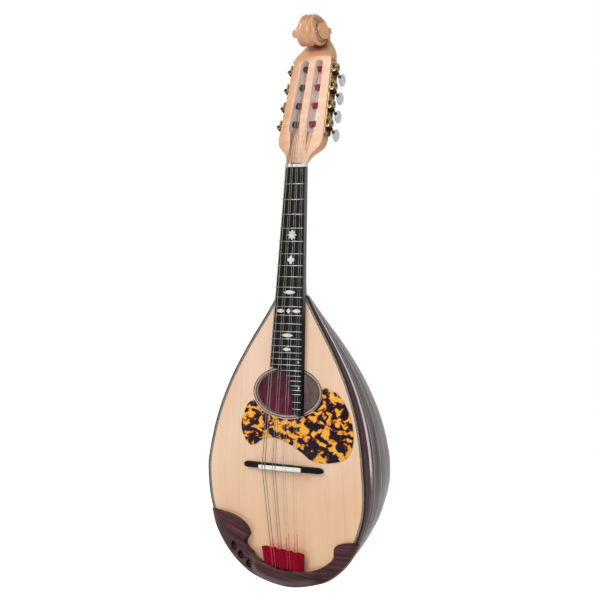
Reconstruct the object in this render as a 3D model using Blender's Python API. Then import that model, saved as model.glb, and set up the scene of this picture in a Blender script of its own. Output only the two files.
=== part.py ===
"""Bowl back mandolin: ribbed bowl, canted top, slotted head with a carved scroll, worm tuners.

Lengths are in millimetres. X runs across to the treble side, -Y is the front and +Z runs up
the neck. The origin is on the centre line at the nut, in the glue plane of the fingerboard.
"""

import math

import bmesh
import bpy
from mathutils import Matrix, Vector

MM = 0.001
GAP = 0.3

# Scale, strings and courses. What moves with the bridge is drawn for the second length.
SCALE_LENGTH = 330.0
DRAWN_SCALE = 330.0
COMPENSATION = 2.5
GAUGES = (0.88, 0.88, 0.62, 0.62, 0.36, 0.36, 0.26, 0.26)
STRING_NAMES = ("g_outer", "g_inner", "d_outer", "d_inner",
                "a_inner", "a_outer", "e_inner", "e_outer")
COURSE_PITCH_NUT = 6.6
PAIR_PITCH_NUT = 2.1
COURSE_PITCH_BRIDGE = 13.8
COURSE_PITCH_TAIL = 9.6
PAIR_PITCH = 3.6
STRING_PAST_HOOK = 3.0

# Fingerboard and frets
NUT_WIDTH = 26.0
BOARD_WIDTH_12 = 38.5
BOARD_THICK = 5.5
FRETS = 29
FRETS_LEFT_OUT = (26, 28)
FRET_HEIGHT = 1.0
FRET_CROWN = 0.7
FRET_FOOT = 1.2
NUT_LENGTH = 3.5
NUT_ACTION = 0.45
SADDLE_HEIGHT = 10.0
EXTENSION = ((-222.5, -19.6), (-224.0, -13.0), (-226.0, -6.5), (-231.9, 2.0), (-237.4, 5.9), (-242.6, 7.7),
             (-247.5, 8.8), (-252.1, 9.5), (-260.6, 10.3), (-268.2, 11.0), (-272.5, 13.0), (-275.5, 17.0))

# Body: distance up the neck, half width, depth below the top and fullness of the section
BODY = ((-142.0, 19.4, 13.0, 2.2), (-165.0, 33.6, 38.0, 2.2), (-200.0, 56.4, 74.0, 2.2),
        (-240.0, 78.4, 105.0, 2.2), (-285.0, 94.8, 129.0, 2.2), (-333.0, 103.4, 139.5, 2.2),
        (-372.0, 102.8, 117.5, 2.08), (-400.0, 95.0, 92.0, 1.96), (-425.0, 81.6, 61.0, 1.84),
        (-445.0, 62.6, 37.0, 1.76), (-458.0, 39.0, 19.0, 1.7), (-465.0, 0.0, 0.0, 1.7))
SPANS = 2
RIBS = 25
WALL = 3.0
TOP_THICK = 2.5
BINDING_WIDTH = 4.0
CREASE_Z = -(SCALE_LENGTH + COMPENSATION) - 0.5
CANT = math.radians(9.5)
NECK_BLOCK_ROWS = (0, 4)
TAIL_BLOCK_ROWS = (16, 19)
BRACES = (("brace_upper", -212.0), ("brace_lower", -292.0))
BRACE_WIDTH = 6.0
BRACE_DEPTH = 8.0
BRACE_END_DEPTH = 2.0
BRACE_TAPER = 18.0
BRACE_REACH = 25.0
BRACE_SHORT = 4.0

# Sound hole, rosette, pickguard
HOLE_Z = -250.0
HOLE_HALF_X = 41.3
HOLE_HALF_Z = 24.8
ROSETTE_WIDTH = 4.1
ROSETTE_THICK = 1.0
ROSETTE_RECESS = 1.2
GUARD_THICK = 1.0
GUARD_ARC = (200.0, 376.0)
PICKGUARD_EDGE = ((-52.7, -267.2), (-59.2, -290.0), (-50.3, -308.4), (-41.0, -310.6), (-30.4, -304.3),
                  (-14.6, -301.1), (4.3, -306.4), (23.0, -315.5), (36.4, -323.4), (58.3, -325.0),
                  (80.6, -317.9), (88.3, -299.2), (83.0, -272.0), (66.0, -249.5))

# Bridge and saddle
BRIDGE_LENGTH = 104.0
BRIDGE_WIDTH = 10.0
BRIDGE_RIDGE = 7.2
BRIDGE_HEIGHT = 7.6
BRIDGE_END_HEIGHT = 4.2
# Each row: distance from the bridge's end, share of the end's height, share of the full width
BRIDGE_END = ((0.0, 0.5, 0.25), (0.8, 0.74, 0.56), (2.4, 0.9, 0.82), (5.5, 1.0, 1.0))
BRIDGE_RISE = ((20.0, 4.8), (25.0, BRIDGE_HEIGHT))
BRIDGE_FOOT = 1.6
SADDLE_LENGTH = 55.0
SADDLE_WIDTH = 4.6
SADDLE_DEPTH = 1.5

# Tail: hooks, felt damper and cover
HOOK_Z = -451.0
HOOK_HEIGHT = 6.2
PLATE_HALF = 19.0
PLATE_REACH = (5.0, -7.0)
FELT_TOP_Z = -424.5
FELT_HEIGHT = 22.0
FELT_SIDES = (-25.4, 23.0)
FELT_SHEAR = 0.094
FELT_THICK = 1.6
FELT_WAVE = 2.0
COVER_LEFT_Z = -381.0
COVER_RIGHT_Z = -409.0
COVER_EDGE = ((-96.5, -387.2), (-84.0, -388.8), (-71.8, -391.2), (-62.5, -394.8), (-55.2, -399.4),
              (-50.2, -405.0), (-48.2, -411.2), (-51.2, -416.4), (-53.8, -420.8), (-51.8, -425.6),
              (-46.5, -429.8), (-38.0, -434.6), (-29.4, -439.2), (-20.0, -443.6), (-11.4, -446.6),
              (1.8, -448.5), (18.2, -447.8), (34.0, -445.6), (43.0, -442.6), (50.8, -438.4),
              (58.0, -433.4), (62.5, -428.8), (63.4, -423.6), (63.8, -418.4), (66.6, -414.8),
              (71.3, -412.2), (82.5, -409.8), (95.5, -409.3))
COVER_FIT = 0.3
COVER_EDGE_THICK = 3.4
COVER_LOBE_HEIGHT = 7.4
COVER_RIGHT_HEIGHT = 5.0
COVER_ARCH_HEIGHT = 12.6
COVER_ARCH_ROOM = 10.0
COVER_ARCH_SIDES = (34.0, 47.0)
COVER_LIP = 5.0
COVER_LIP_THICK = 1.8
DIMPLES = ((-68.9, -427.6, 3.9), (-59.5, -437.1, 3.7), (-49.5, -447.3, 3.5))
DIMPLE_BALL = 1.05
DIMPLE_RISE = 0.2

# Neck and head, the head's heights are measured up its own face
NECK_DEPTH = 12.8
HEEL_DEPTH = 17.0
NECK_FULLNESS = 1.7
# Each row: distance up the neck, depth over the nut's, fullness
NECK_ROWS = ((-60.0, 0.7, 1.7), (-110.0, 1.5, 1.75), (-128.0, 2.3, 1.85), (-137.0, 3.3, 2.0))
HEEL_FULLNESS = 2.2
HEAD_TILT = math.radians(11.0)
HEAD_START = (0.0, -3.0, 5.0)
HEAD_THICK = 14.0
HEAD_BACK = 13.4
HEAD_EASE = 0.5
# Each row: height, half width of the front, full half width, front, start of the sides, back, fullness
HEAD_ROWS = ((8.0, 15.5, 16.0, 0.0, 0.5, 13.4, 2.4), (12.0, 18.7, 19.2, 0.0, 0.5, 13.8, 3.2),
             (16.5, 23.5, 24.0, 0.0, 0.5, 14.0, 5.0), (21.0, 27.1, 27.6, 0.0, 0.5, 14.0, 8.0),
             (30.0, 28.7, 29.2, 0.0, 0.5, 14.0, 12.0), (118.0, 24.7, 25.2, 0.0, 0.5, 14.0, 12.0),
             (122.5, 23.6, 24.8, 0.0, 1.5, 14.0, 12.0), (127.0, 21.4, 24.2, 0.2, 4.0, 14.0, 9.0),
             (130.2, 16.6, 23.6, 0.6, 7.0, 14.0, 7.0), (133.0, 12.4, 22.8, 1.2, 9.0, 14.0, 5.0),
             (137.0, 11.0, 20.8, 3.4, 9.6, 14.0, 4.0), (141.0, 10.6, 18.2, 5.4, 9.6, 14.0, 4.0),
             (146.0, 9.6, 14.6, 5.0, 8.6, 13.8, 4.0), (153.0, 8.0, 10.4, 2.0, 7.0, 12.4, 4.0))
SIDE_LOW = (30.0, 29.2)
SIDE_HIGH = (118.0, 25.2)
SLOT_TOP = (9.2, 116.8, 4.9)
SLOT_BOTTOM = (11.4, 42.0, 6.4)
SLOT_PAST = 8.0
RAMP_START = 13.0
RAMP_DEPTH = 4.0

# Scroll, each row an eighth turn on from the back over the top: radius and half width of its rim
EYE = (10.4, 150.3)
VOLUTE_ROWS = ((23.6, 12.0), (22.2, 9.6), (21.0, 6.8), (20.0, 8.6), (15.2, 12.0), (14.6, 13.0),
               (15.6, 14.0), (15.0, 14.8), (12.6, 15.4), (11.6, 15.7), (10.7, 16.0), (9.9, 16.2),
               (9.2, 16.5), (8.7, 17.0), (8.4, 17.8), (8.0, 19.0), (7.4, 20.2))
VOLUTE_STEPS = 3
VOLUTE_BAND = ((1.0, 2.2), (0.86, 0.8), (0.7, 0.35), (0.36, 0.9), (0.0, 0.0),
               (-0.36, 0.9), (-0.7, 0.35), (-0.86, 0.8), (-1.0, 2.2))
VOLUTE_DISH = 0.9
KNOB_RADIUS = 4.8
KNOB_HALF = 24.2

# Tuners
TUNER_HEIGHTS = (113.8, 91.9, 70.3, 48.4)
ROLLER_DEPTH = 7.2
WORM_LEAN = math.radians(17.0)
ROLLER_RADIUS = 3.0
RUNNING_GAP = 0.06
SHAFT_RADIUS = 1.5
BORE_REACH = 8.0
PLATE_THICK = 1.2
PLATE_EDGE = ((-1.6, 0.6), (1.4, 2.2), (6.3, 5.0), (6.4, 84.0), (4.6, 87.6), (0.6, 89.0), (-1.8, 91.4),
              (-4.6, 94.6), (-5.4, 90.6), (-6.2, 87.6), (-6.3, 5.0), (-4.2, 3.0))
GEAR_TEETH = 14
GEAR_PITCH_RADIUS = 4.55
GEAR_TIP = 4.95
GEAR_ROOT = 3.75
GEAR_TIP_TURN = 0.0455
GEAR_ROOT_TURN = 0.153
GEAR_WIDTH = 2.0
SCREW_RADIUS = 2.1
SCREW_HEIGHT = 1.0
WORM_PITCH_RADIUS = 2.0
WORM_TIP = 2.4
WORM_CORE = 1.25
WORM_SIDES = 8
BORE_SIDES = 10
WINDING_SIDES = 5
STRING_FACETS = 6
WORM_LENGTH = 6.8
WORM_TURN_STEPS = 6
WORM_SHAFT = 1.1
LUG_THICK = 1.0
BUTTON_LENGTH = 12.0
BUTTON_HEIGHT = 15.5
BUTTON_THICK = 4.6
BUTTON_START = 9.8
BUTTON_SIDES = 10
SOCKET_DEPTH = 6.5
BUTTON_ROWS = ((0.0, 0.72, 0.36), (0.1, 0.85, 0.66), (0.25, 0.96, 0.9), (0.45, 1.0, 1.0),
               (0.65, 1.0, 0.96), (0.85, 0.82, 0.7), (0.96, 0.55, 0.4), (1.0, 0.3, 0.2))
TURNS = 3
TURN_POINTS = 8
COIL_GAP = 0.45
TAKE_OFF = 3.0
LANES = (9.3, 10.6, 12.4, 14.6)
BASS_LANES = (9.0, 10.0, 11.0, 12.6)


# Shared helpers
def clear_scene():
    for obj in list(bpy.data.objects):
        bpy.data.objects.remove(obj, do_unlink=True)


def finish(name, color, roughness, metallic=0.0):
    """A plain Principled material."""
    material = bpy.data.materials.get(name) or bpy.data.materials.new(name)
    material.use_nodes = True
    shader = material.node_tree.nodes["Principled BSDF"]
    shader.inputs["Base Color"].default_value = (*color, 1.0)
    shader.inputs["Roughness"].default_value = roughness
    shader.inputs["Metallic"].default_value = metallic
    return material


def rosewood():
    return finish("rosewood", (0.07, 0.03, 0.035), 0.25)


def spruce():
    return finish("spruce", (0.87, 0.62, 0.42), 0.35)


def maple():
    return finish("maple", (0.86, 0.55, 0.34), 0.3)


def ebony():
    return finish("ebony", (0.02, 0.02, 0.02), 0.4)


def bone():
    return finish("bone", (0.85, 0.82, 0.74), 0.35)


def pearl():
    return finish("pearl", (0.8, 0.8, 0.78), 0.2)


def gilt():
    return finish("gilt_brass", (0.78, 0.56, 0.22), 0.25, 1.0)


def steel():
    return finish("steel", (0.45, 0.44, 0.42), 0.3, 1.0)


def solid(name, verts, faces, material, matrix=None, parent=None, smooth=None):
    """One closed mesh object from millimetre points, with its faces turned outwards."""
    mesh = bpy.data.meshes.new(name)
    mesh.from_pydata([Vector(v) * MM for v in verts], [], faces)
    bm = bmesh.new()
    bm.from_mesh(mesh)
    bmesh.ops.recalc_face_normals(bm, faces=bm.faces)
    bm.to_mesh(mesh)
    bm.free()
    mesh.materials.append(material)
    if smooth:
        mesh.shade_smooth()
        mesh.set_sharp_from_angle(angle=math.radians(smooth))
    obj = bpy.data.objects.new(name, mesh)
    bpy.context.scene.collection.objects.link(obj)
    if parent:
        obj.parent = parent
    if matrix:
        obj.matrix_local = matrix
    return obj


def placed(matrix):
    """A placing matrix whose offset is in millimetres, turned to metres."""
    return Matrix.Translation(matrix.translation * MM) @ matrix.to_3x3().to_4x4()


def loft(rings):
    """Points and faces of a skin through equal rings, capped at both ends."""
    count = len(rings[0])
    verts = [point for ring in rings for point in ring]
    faces = []
    for row in range(len(rings) - 1):
        low, high = row * count, (row + 1) * count
        for k in range(count):
            after = (k + 1) % count
            faces.append((low + k, low + after, high + after, high + k))
    faces.append(tuple(range(count)))
    faces.append(tuple(range(len(verts) - count, len(verts))))
    return verts, faces


def cutter(name, verts, faces, matrix=None, parent=None):
    obj = solid(name, verts, faces, ebony(), matrix, parent)
    obj.hide_render = True
    obj.display_type = "WIRE"
    return obj


def combine(obj, tool, operation="DIFFERENCE"):
    modifier = obj.modifiers.new(tool.name, "BOOLEAN")
    modifier.operation = operation
    modifier.solver = "EXACT"
    modifier.object = tool


def circle(radius, steps):
    angles = [math.tau * k / steps for k in range(steps)]
    return [(radius * math.cos(angle), radius * math.sin(angle)) for angle in angles]


def bore_radius(shaft, sides):
    """Corner radius of a many-sided bore whose flats clear a turning shaft by the running gap."""
    return (shaft + RUNNING_GAP) / math.cos(math.pi / sides)


def smooth_rows(rows, steps, after=None):
    """Rows of numbers read from a Catmull-Rom curve through the given rows."""
    before = tuple(2 * a - b for a, b in zip(rows[0], rows[1]))
    after = after or tuple(2 * a - b for a, b in zip(rows[-1], rows[-2]))
    knots = [before, *rows, after]
    points = []
    for i in range(1, len(knots) - 2):
        for step in range(steps):
            t = step / steps
            points.append(tuple(
                0.5 * (2 * b + (c - a) * t + (2 * a - 5 * b + 4 * c - d) * t ** 2
                       + (3 * b - a - 3 * c + d) * t ** 3)
                for a, b, c, d in zip(*knots[i - 1:i + 3])))
    points.append(tuple(rows[-1]))
    return points


def resampled(points, count):
    """Points at equal steps along a polyline."""
    lengths = [0.0]
    for a, b in zip(points, points[1:]):
        lengths.append(lengths[-1] + math.dist(a, b))
    found = []
    span = 0
    for k in range(count):
        goal = lengths[-1] * k / (count - 1)
        while span < len(points) - 2 and lengths[span + 1] < goal:
            span += 1
        t = (goal - lengths[span]) / (lengths[span + 1] - lengths[span])
        found.append(tuple(a + (b - a) * t for a, b in zip(points[span], points[span + 1])))
    return found


def blend(low, high, value):
    """Zero below low, one above high, and smooth between."""
    t = min(max((value - low) / (high - low), 0.0), 1.0)
    return t * t * (3 - 2 * t)


# Body outline and top surface
def along(z):
    """A place on the top that moves with the bridge when the scale length changes."""
    return z * SCALE_LENGTH / DRAWN_SCALE


def top_front(z):
    """Depth of the soundboard's front face, which cants back behind the bridge."""
    return max(0.0, CREASE_Z - z) * math.tan(CANT)


def body_rows(steps=SPANS):
    z, half, depth, fullness = BODY[-2]
    return smooth_rows(BODY, steps, after=(z, -half, -depth, fullness))


def inset(rows, width):
    """The outline's right side moved inwards in plan, from the neck to the tail's centre."""
    z, half = rows[-2][0], rows[-2][1]
    line = [(r[0], r[1]) for r in rows] + [(z, -half)]
    line.insert(0, (2 * line[0][0] - line[1][0], 2 * line[0][1] - line[1][1]))
    moved = []
    for i in range(1, len(line) - 1):
        dz = line[i + 1][0] - line[i - 1][0]
        dx = line[i + 1][1] - line[i - 1][1]
        run = math.hypot(dz, dx)
        moved.append((line[i][0] - dx / run * width, max(line[i][1] + dz / run * width, 0.0)))
    moved[-1] = (moved[-1][0], 0.0)
    return moved


def rim_face(z):
    return top_front(z) + TOP_THICK + GAP


def bowl_ring(z, half, depth, fullness):
    ring = []
    for k in range(RIBS + 1):
        angle = math.pi * k / RIBS
        across = math.copysign(abs(math.cos(angle)) ** (2 / fullness), math.cos(angle))
        back = max(math.sin(angle), 0.0) ** (2 / fullness)
        ring.append((half * across, rim_face(z) + depth * back, z))
    return ring


# Body pieces
def make_bowl():
    rows = body_rows()
    inner = [(z, x, depth * x / max(half, 1e-6), fullness)
             for (z, x), (_, half, depth, fullness) in zip(inset(rows, WALL), rows)]
    skins = []
    verts = []
    for skin in (rows, inner):
        first = []
        for row in skin[:-1]:
            first.append(len(verts))
            verts += bowl_ring(*row)
        skins.append((first, len(verts)))
        verts.append((0.0, rim_face(skin[-1][0]), skin[-1][0]))
    faces = []
    for first, pole in skins:
        for low, high in zip(first, first[1:]):
            faces += [(low + k, low + k + 1, high + k + 1, high + k) for k in range(RIBS)]
        faces += [(first[-1] + k, first[-1] + k + 1, pole) for k in range(RIBS)]
    (outer, outer_pole), (inner, inner_pole) = skins
    for k in (0, RIBS):
        for i in range(len(outer) - 1):
            faces.append((outer[i] + k, outer[i + 1] + k, inner[i + 1] + k, inner[i] + k))
        faces.append((outer[-1] + k, outer_pole, inner_pole, inner[-1] + k))
    faces += [(outer[0] + k, outer[0] + k + 1, inner[0] + k + 1, inner[0] + k) for k in range(RIBS)]
    return solid("bowl", verts, faces, rosewood())


def make_soundboard():
    line = inset(body_rows(), BINDING_WIDTH + GAP)
    verts = []
    for z, half in line[:-1]:
        for back in (0.0, TOP_THICK):
            verts += [(-half, top_front(z) + back, z), (half, top_front(z) + back, z)]
    z = line[-1][0]
    verts += [(0.0, top_front(z), z), (0.0, top_front(z) + TOP_THICK, z)]
    faces = [(0, 1, 3, 2)]
    for i in range(len(line) - 2):
        a, b = 4 * i, 4 * i + 4
        faces += [(a, a + 1, b + 1, b), (a + 2, a + 3, b + 3, b + 2),
                  (a, b, b + 2, a + 2), (a + 1, b + 1, b + 3, a + 3)]
    a, tip = 4 * (len(line) - 2), 4 * (len(line) - 1)
    faces += [(a, a + 1, tip), (a + 2, a + 3, tip + 1), (a, tip, tip + 1, a + 2), (a + 1, tip, tip + 1, a + 3)]
    board = solid("soundboard", verts, faces, spruce())
    combine(board, oval_cutter("hole_cut", 0.0, -2.0, TOP_THICK + 2.0))
    combine(board, oval_cutter("rosette_cut", ROSETTE_WIDTH + GAP, -2.0, ROSETTE_RECESS))
    return board


def oval(grow, y, steps=32):
    return [((HOLE_HALF_X + grow) * x, y, along(HOLE_Z) + (HOLE_HALF_Z + grow) * z)
            for x, z in circle(1.0, steps)]


def oval_cutter(name, grow, front, back):
    return cutter(name, *loft([oval(grow, front), oval(grow, back)]))


def make_rosette():
    front = -(ROSETTE_THICK + GAP - ROSETTE_RECESS)
    back = front + ROSETTE_THICK
    rings = [oval(ROSETTE_WIDTH, front), oval(ROSETTE_WIDTH, back), oval(GAP, back), oval(GAP, front)]
    count = len(rings[0])
    verts = [p for ring in rings for p in ring]
    faces = []
    for r in range(4):
        low, high = r * count, (r + 1) % 4 * count
        faces += [(low + k, low + (k + 1) % count, high + (k + 1) % count, high + k) for k in range(count)]
    return solid("rosette", verts, faces, finish("rosette_wood", (0.45, 0.33, 0.22), 0.35))


def make_binding():
    rows = body_rows()
    outer = [(row[0], row[1]) for row in rows]
    inner = inset(rows, BINDING_WIDTH)
    path = list(zip(outer, inner, [1.0] * len(outer)))
    path += [(a, b, -1.0) for a, b in zip(outer[-2::-1], inner[-2::-1])]
    rings = []
    for (z_out, x_out), (z_in, x_in), side in path:
        rings.append([(side * x_out, top_front(z_out), z_out), (side * x_in, top_front(z_in), z_in),
                      (side * x_in, top_front(z_in) + TOP_THICK, z_in),
                      (side * x_out, top_front(z_out) + TOP_THICK, z_out)])
    return solid("binding", *loft(rings), rosewood())


def make_pickguard():
    steps = 16
    reach_x = HOLE_HALF_X + ROSETTE_WIDTH + 1.0
    reach_z = HOLE_HALF_Z + ROSETTE_WIDTH + 1.0
    ring = []
    first, last = GUARD_ARC
    for k in range(steps + 1):
        angle = math.radians(first + (last - first) * k / steps)
        ring.append((reach_x * math.cos(angle), along(HOLE_Z) + reach_z * math.sin(angle)))
    edge = smooth_rows((ring[0], *((x, along(z)) for x, z in PICKGUARD_EDGE), ring[-1]), 2)[1:-1]
    outline = ring + edge[::-1]
    rings = [[(x, y, z) for x, z in outline] for y in (-GAP - GUARD_THICK, -GAP)]
    return solid("pickguard", *loft(rings), finish("tortoise", (0.55, 0.25, 0.05), 0.15))


def inner_block(name, low, high):
    """A block that fills the bowl's end between two of its rows."""
    rows = body_rows()
    rings = []
    for (z, half), (_, outer, depth, fullness) in list(zip(inset(rows, WALL), rows))[low:high]:
        share = (half - 1.5) / half
        ring = [(x * share, GAP + rim_face(z) + (y - rim_face(z)) * share, z)
                for x, y, z in bowl_ring(z, half, depth * half / outer, fullness)[::5]]
        rings.append(ring)
    return solid(name, *loft(rings), maple())


def make_braces():
    line = inset(body_rows(), BINDING_WIDTH + WALL)
    for name, drawn_z in BRACES:
        z = along(drawn_z)
        half = min(x for row_z, x in line if abs(row_z - z) < BRACE_REACH) - BRACE_SHORT
        low = TOP_THICK + GAP
        full = half - BRACE_TAPER
        wide, narrow = BRACE_WIDTH / 2, BRACE_WIDTH / 4
        rings = []
        for x, depth in ((-half, BRACE_END_DEPTH), (-full, BRACE_DEPTH), (full, BRACE_DEPTH),
                         (half, BRACE_END_DEPTH)):
            rings.append([(x, low, z - wide), (x, low, z + wide),
                          (x, low + depth, z + narrow), (x, low + depth, z - narrow)])
        solid(name, *loft(rings), spruce())


# Strings' places
def string_x(index, course_pitch, pair_pitch):
    course, member = divmod(index, 2)
    return (course - 1.5) * course_pitch + (member - 0.5) * pair_pitch


def nut_string_y(index):
    return -(BOARD_THICK + FRET_HEIGHT + NUT_ACTION + GAUGES[index] / 2)


def saddle_z():
    return -(SCALE_LENGTH + COMPENSATION)


def bend_z():
    """The saddle's tail side, where the strings turn down to the hooks."""
    return saddle_z() - SADDLE_WIDTH / 2


def string_y(z):
    """Depth of the strings' centres between the bridge and the hooks."""
    hook_y = top_front(HOOK_Z) - HOOK_HEIGHT
    share = (z - bend_z()) / (HOOK_Z - bend_z())
    return -SADDLE_HEIGHT + (hook_y + SADDLE_HEIGHT) * share


def fret_z(number):
    return SCALE_LENGTH * (2 ** (-number / 12) - 1)


def board_half(z):
    taper = (BOARD_WIDTH_12 - NUT_WIDTH) / 2 / (SCALE_LENGTH / 2)
    return NUT_WIDTH / 2 - z * taper


def notched_bar(name, half, low, high, bottom, tops, depth, material):
    """A bar across the strings, with a notch under each string."""
    outline = [(-half, bottom), (-half, tops[0][1] - depth)]
    for x, y, radius in tops:
        reach = radius + GAP
        outline += [(x - reach, y - depth), (x - reach, y), (x - reach / 2, y + reach),
                    (x + reach / 2, y + reach), (x + reach, y), (x + reach, y - depth)]
    outline += [(half, tops[-1][1] - depth), (half, bottom)]
    rings = [[(x, y, z) for x, y in outline] for z in (low, high)]
    return solid(name, *loft(rings), material)


def make_nut():
    tops = [(string_x(i, COURSE_PITCH_NUT, PAIR_PITCH_NUT), nut_string_y(i), gauge / 2)
            for i, gauge in enumerate(GAUGES)]
    return notched_bar("nut", NUT_WIDTH / 2, GAP, NUT_LENGTH, -GAP, tops, 0.2, bone())


def make_bridge():
    ridge = -GAP - BRIDGE_HEIGHT
    rows = [(-BRIDGE_LENGTH / 2 + x, BRIDGE_END_HEIGHT * tall, wide) for x, tall, wide in BRIDGE_END]
    rows += [(-BRIDGE_LENGTH / 2 + x, height, 1.0) for x, height in BRIDGE_RISE]
    rows += [(-x, h, w) for x, h, w in rows[::-1]]
    rings = []
    for x, height, width in rows:
        foot, top = BRIDGE_WIDTH / 2 * width, BRIDGE_RIDGE / 2 * width
        low, edge, high = -GAP, -GAP - BRIDGE_FOOT, -GAP - height
        rings.append([(x, low, saddle_z() - foot), (x, low, CREASE_Z), (x, low, saddle_z() + foot),
                      (x, edge, saddle_z() + foot), (x, high, saddle_z() + top),
                      (x, high, saddle_z() - top), (x, edge, saddle_z() - foot)])
    rings = [[(x, y + top_front(z), z) for x, y, z in ring] for ring in rings]
    base = solid("bridge_base", *loft(rings), ebony())
    reach = SADDLE_LENGTH / 2 + GAP
    wide = SADDLE_WIDTH / 2 + GAP
    floor = ridge + SADDLE_DEPTH
    box = [[(x, ridge - SADDLE_DEPTH, saddle_z() - wide), (x, ridge - SADDLE_DEPTH, saddle_z() + wide),
            (x, floor, saddle_z() + wide), (x, floor, saddle_z() - wide)] for x in (-reach, reach)]
    combine(base, cutter("saddle_cut", *loft(box)))
    tops = [(string_x(i, COURSE_PITCH_BRIDGE, PAIR_PITCH), -SADDLE_HEIGHT, gauge / 2)
            for i, gauge in enumerate(GAUGES)]
    notched_bar("bridge_saddle", SADDLE_LENGTH / 2, bend_z(), bend_z() + SADDLE_WIDTH, floor - GAP, tops,
                0.1, bone())
    return base


def make_fingerboard():
    rows = [(-GAP, 0.0)]
    edge = [(along(z), x) for z, x in EXTENSION]
    for number in range(1, FRETS + 1):
        if number in FRETS_LEFT_OUT:
            continue
        z = fret_z(number)
        rows += [(z + FRET_FOOT / 2, 0.0), (z + FRET_CROWN / 2, FRET_HEIGHT),
                 (z - FRET_CROWN / 2, FRET_HEIGHT), (z - FRET_FOOT / 2, 0.0)]
    end = edge[-1][0]
    rows += [(edge[0][0], 0.0), (edge[-2][0], 0.0), (end, 0.0)]
    rows = sorted((row for row in rows if row[0] >= end), reverse=True)
    rings = []
    for z, rise in rows:
        left = -board_half(z)
        if z < edge[0][0]:
            left = next(x0 + (x1 - x0) * (z - z0) / (z1 - z0)
                        for (z0, x0), (z1, x1) in zip(edge, edge[1:]) if z >= z1)
        front = -BOARD_THICK - rise
        rings.append([(left, front, z), (board_half(z), front, z), (board_half(z), -GAP, z), (left, -GAP, z)])
    return solid("fingerboard", *loft(rings), ebony())


# Neck and head
def back_section(half, front, back, fullness, steps=12):
    """A flat front edge and a rounded back, as (x, y) points."""
    points = []
    for k in range(steps + 1):
        angle = math.pi * k / steps
        across = math.copysign(abs(math.cos(angle)) ** (2 / fullness), math.cos(angle))
        points.append((half * across, front + (back - front) * max(math.sin(angle), 0.0) ** (2 / fullness)))
    return points


def make_neck():
    rows = [(NUT_LENGTH, NECK_DEPTH, NECK_FULLNESS)]
    rows += [(z, NECK_DEPTH + over, fullness) for z, over, fullness in NECK_ROWS]
    rows.append((BODY[0][0] + GAP, HEEL_DEPTH, HEEL_FULLNESS))
    rings = [[(x, y, z) for x, y in back_section(board_half(min(z, 0.0)), 0.0, depth, fullness)]
             for z, depth, fullness in rows]
    return solid("neck", *loft(rings), maple())


def head_section(front_half, half, front, sides, back, fullness):
    """A section of the head: a front narrower than the sides, and a back cut flat."""
    rounded = [(x, min(y, HEAD_BACK)) for x, y in back_section(half, sides, back, fullness)]
    return [(front_half, front), *rounded, (-front_half, front)]


def head_matrix():
    return Matrix.Translation(HEAD_START) @ Matrix.Rotation(-HEAD_TILT, 4, "X")


def volute_place(step, radius):
    """Head-frame y and z of a point on the scroll, its steps counted from the back over the top."""
    angle = step * math.pi / 4 / VOLUTE_STEPS
    front, height = EYE
    return -front + radius * math.cos(angle), height + radius * math.sin(angle)


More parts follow.
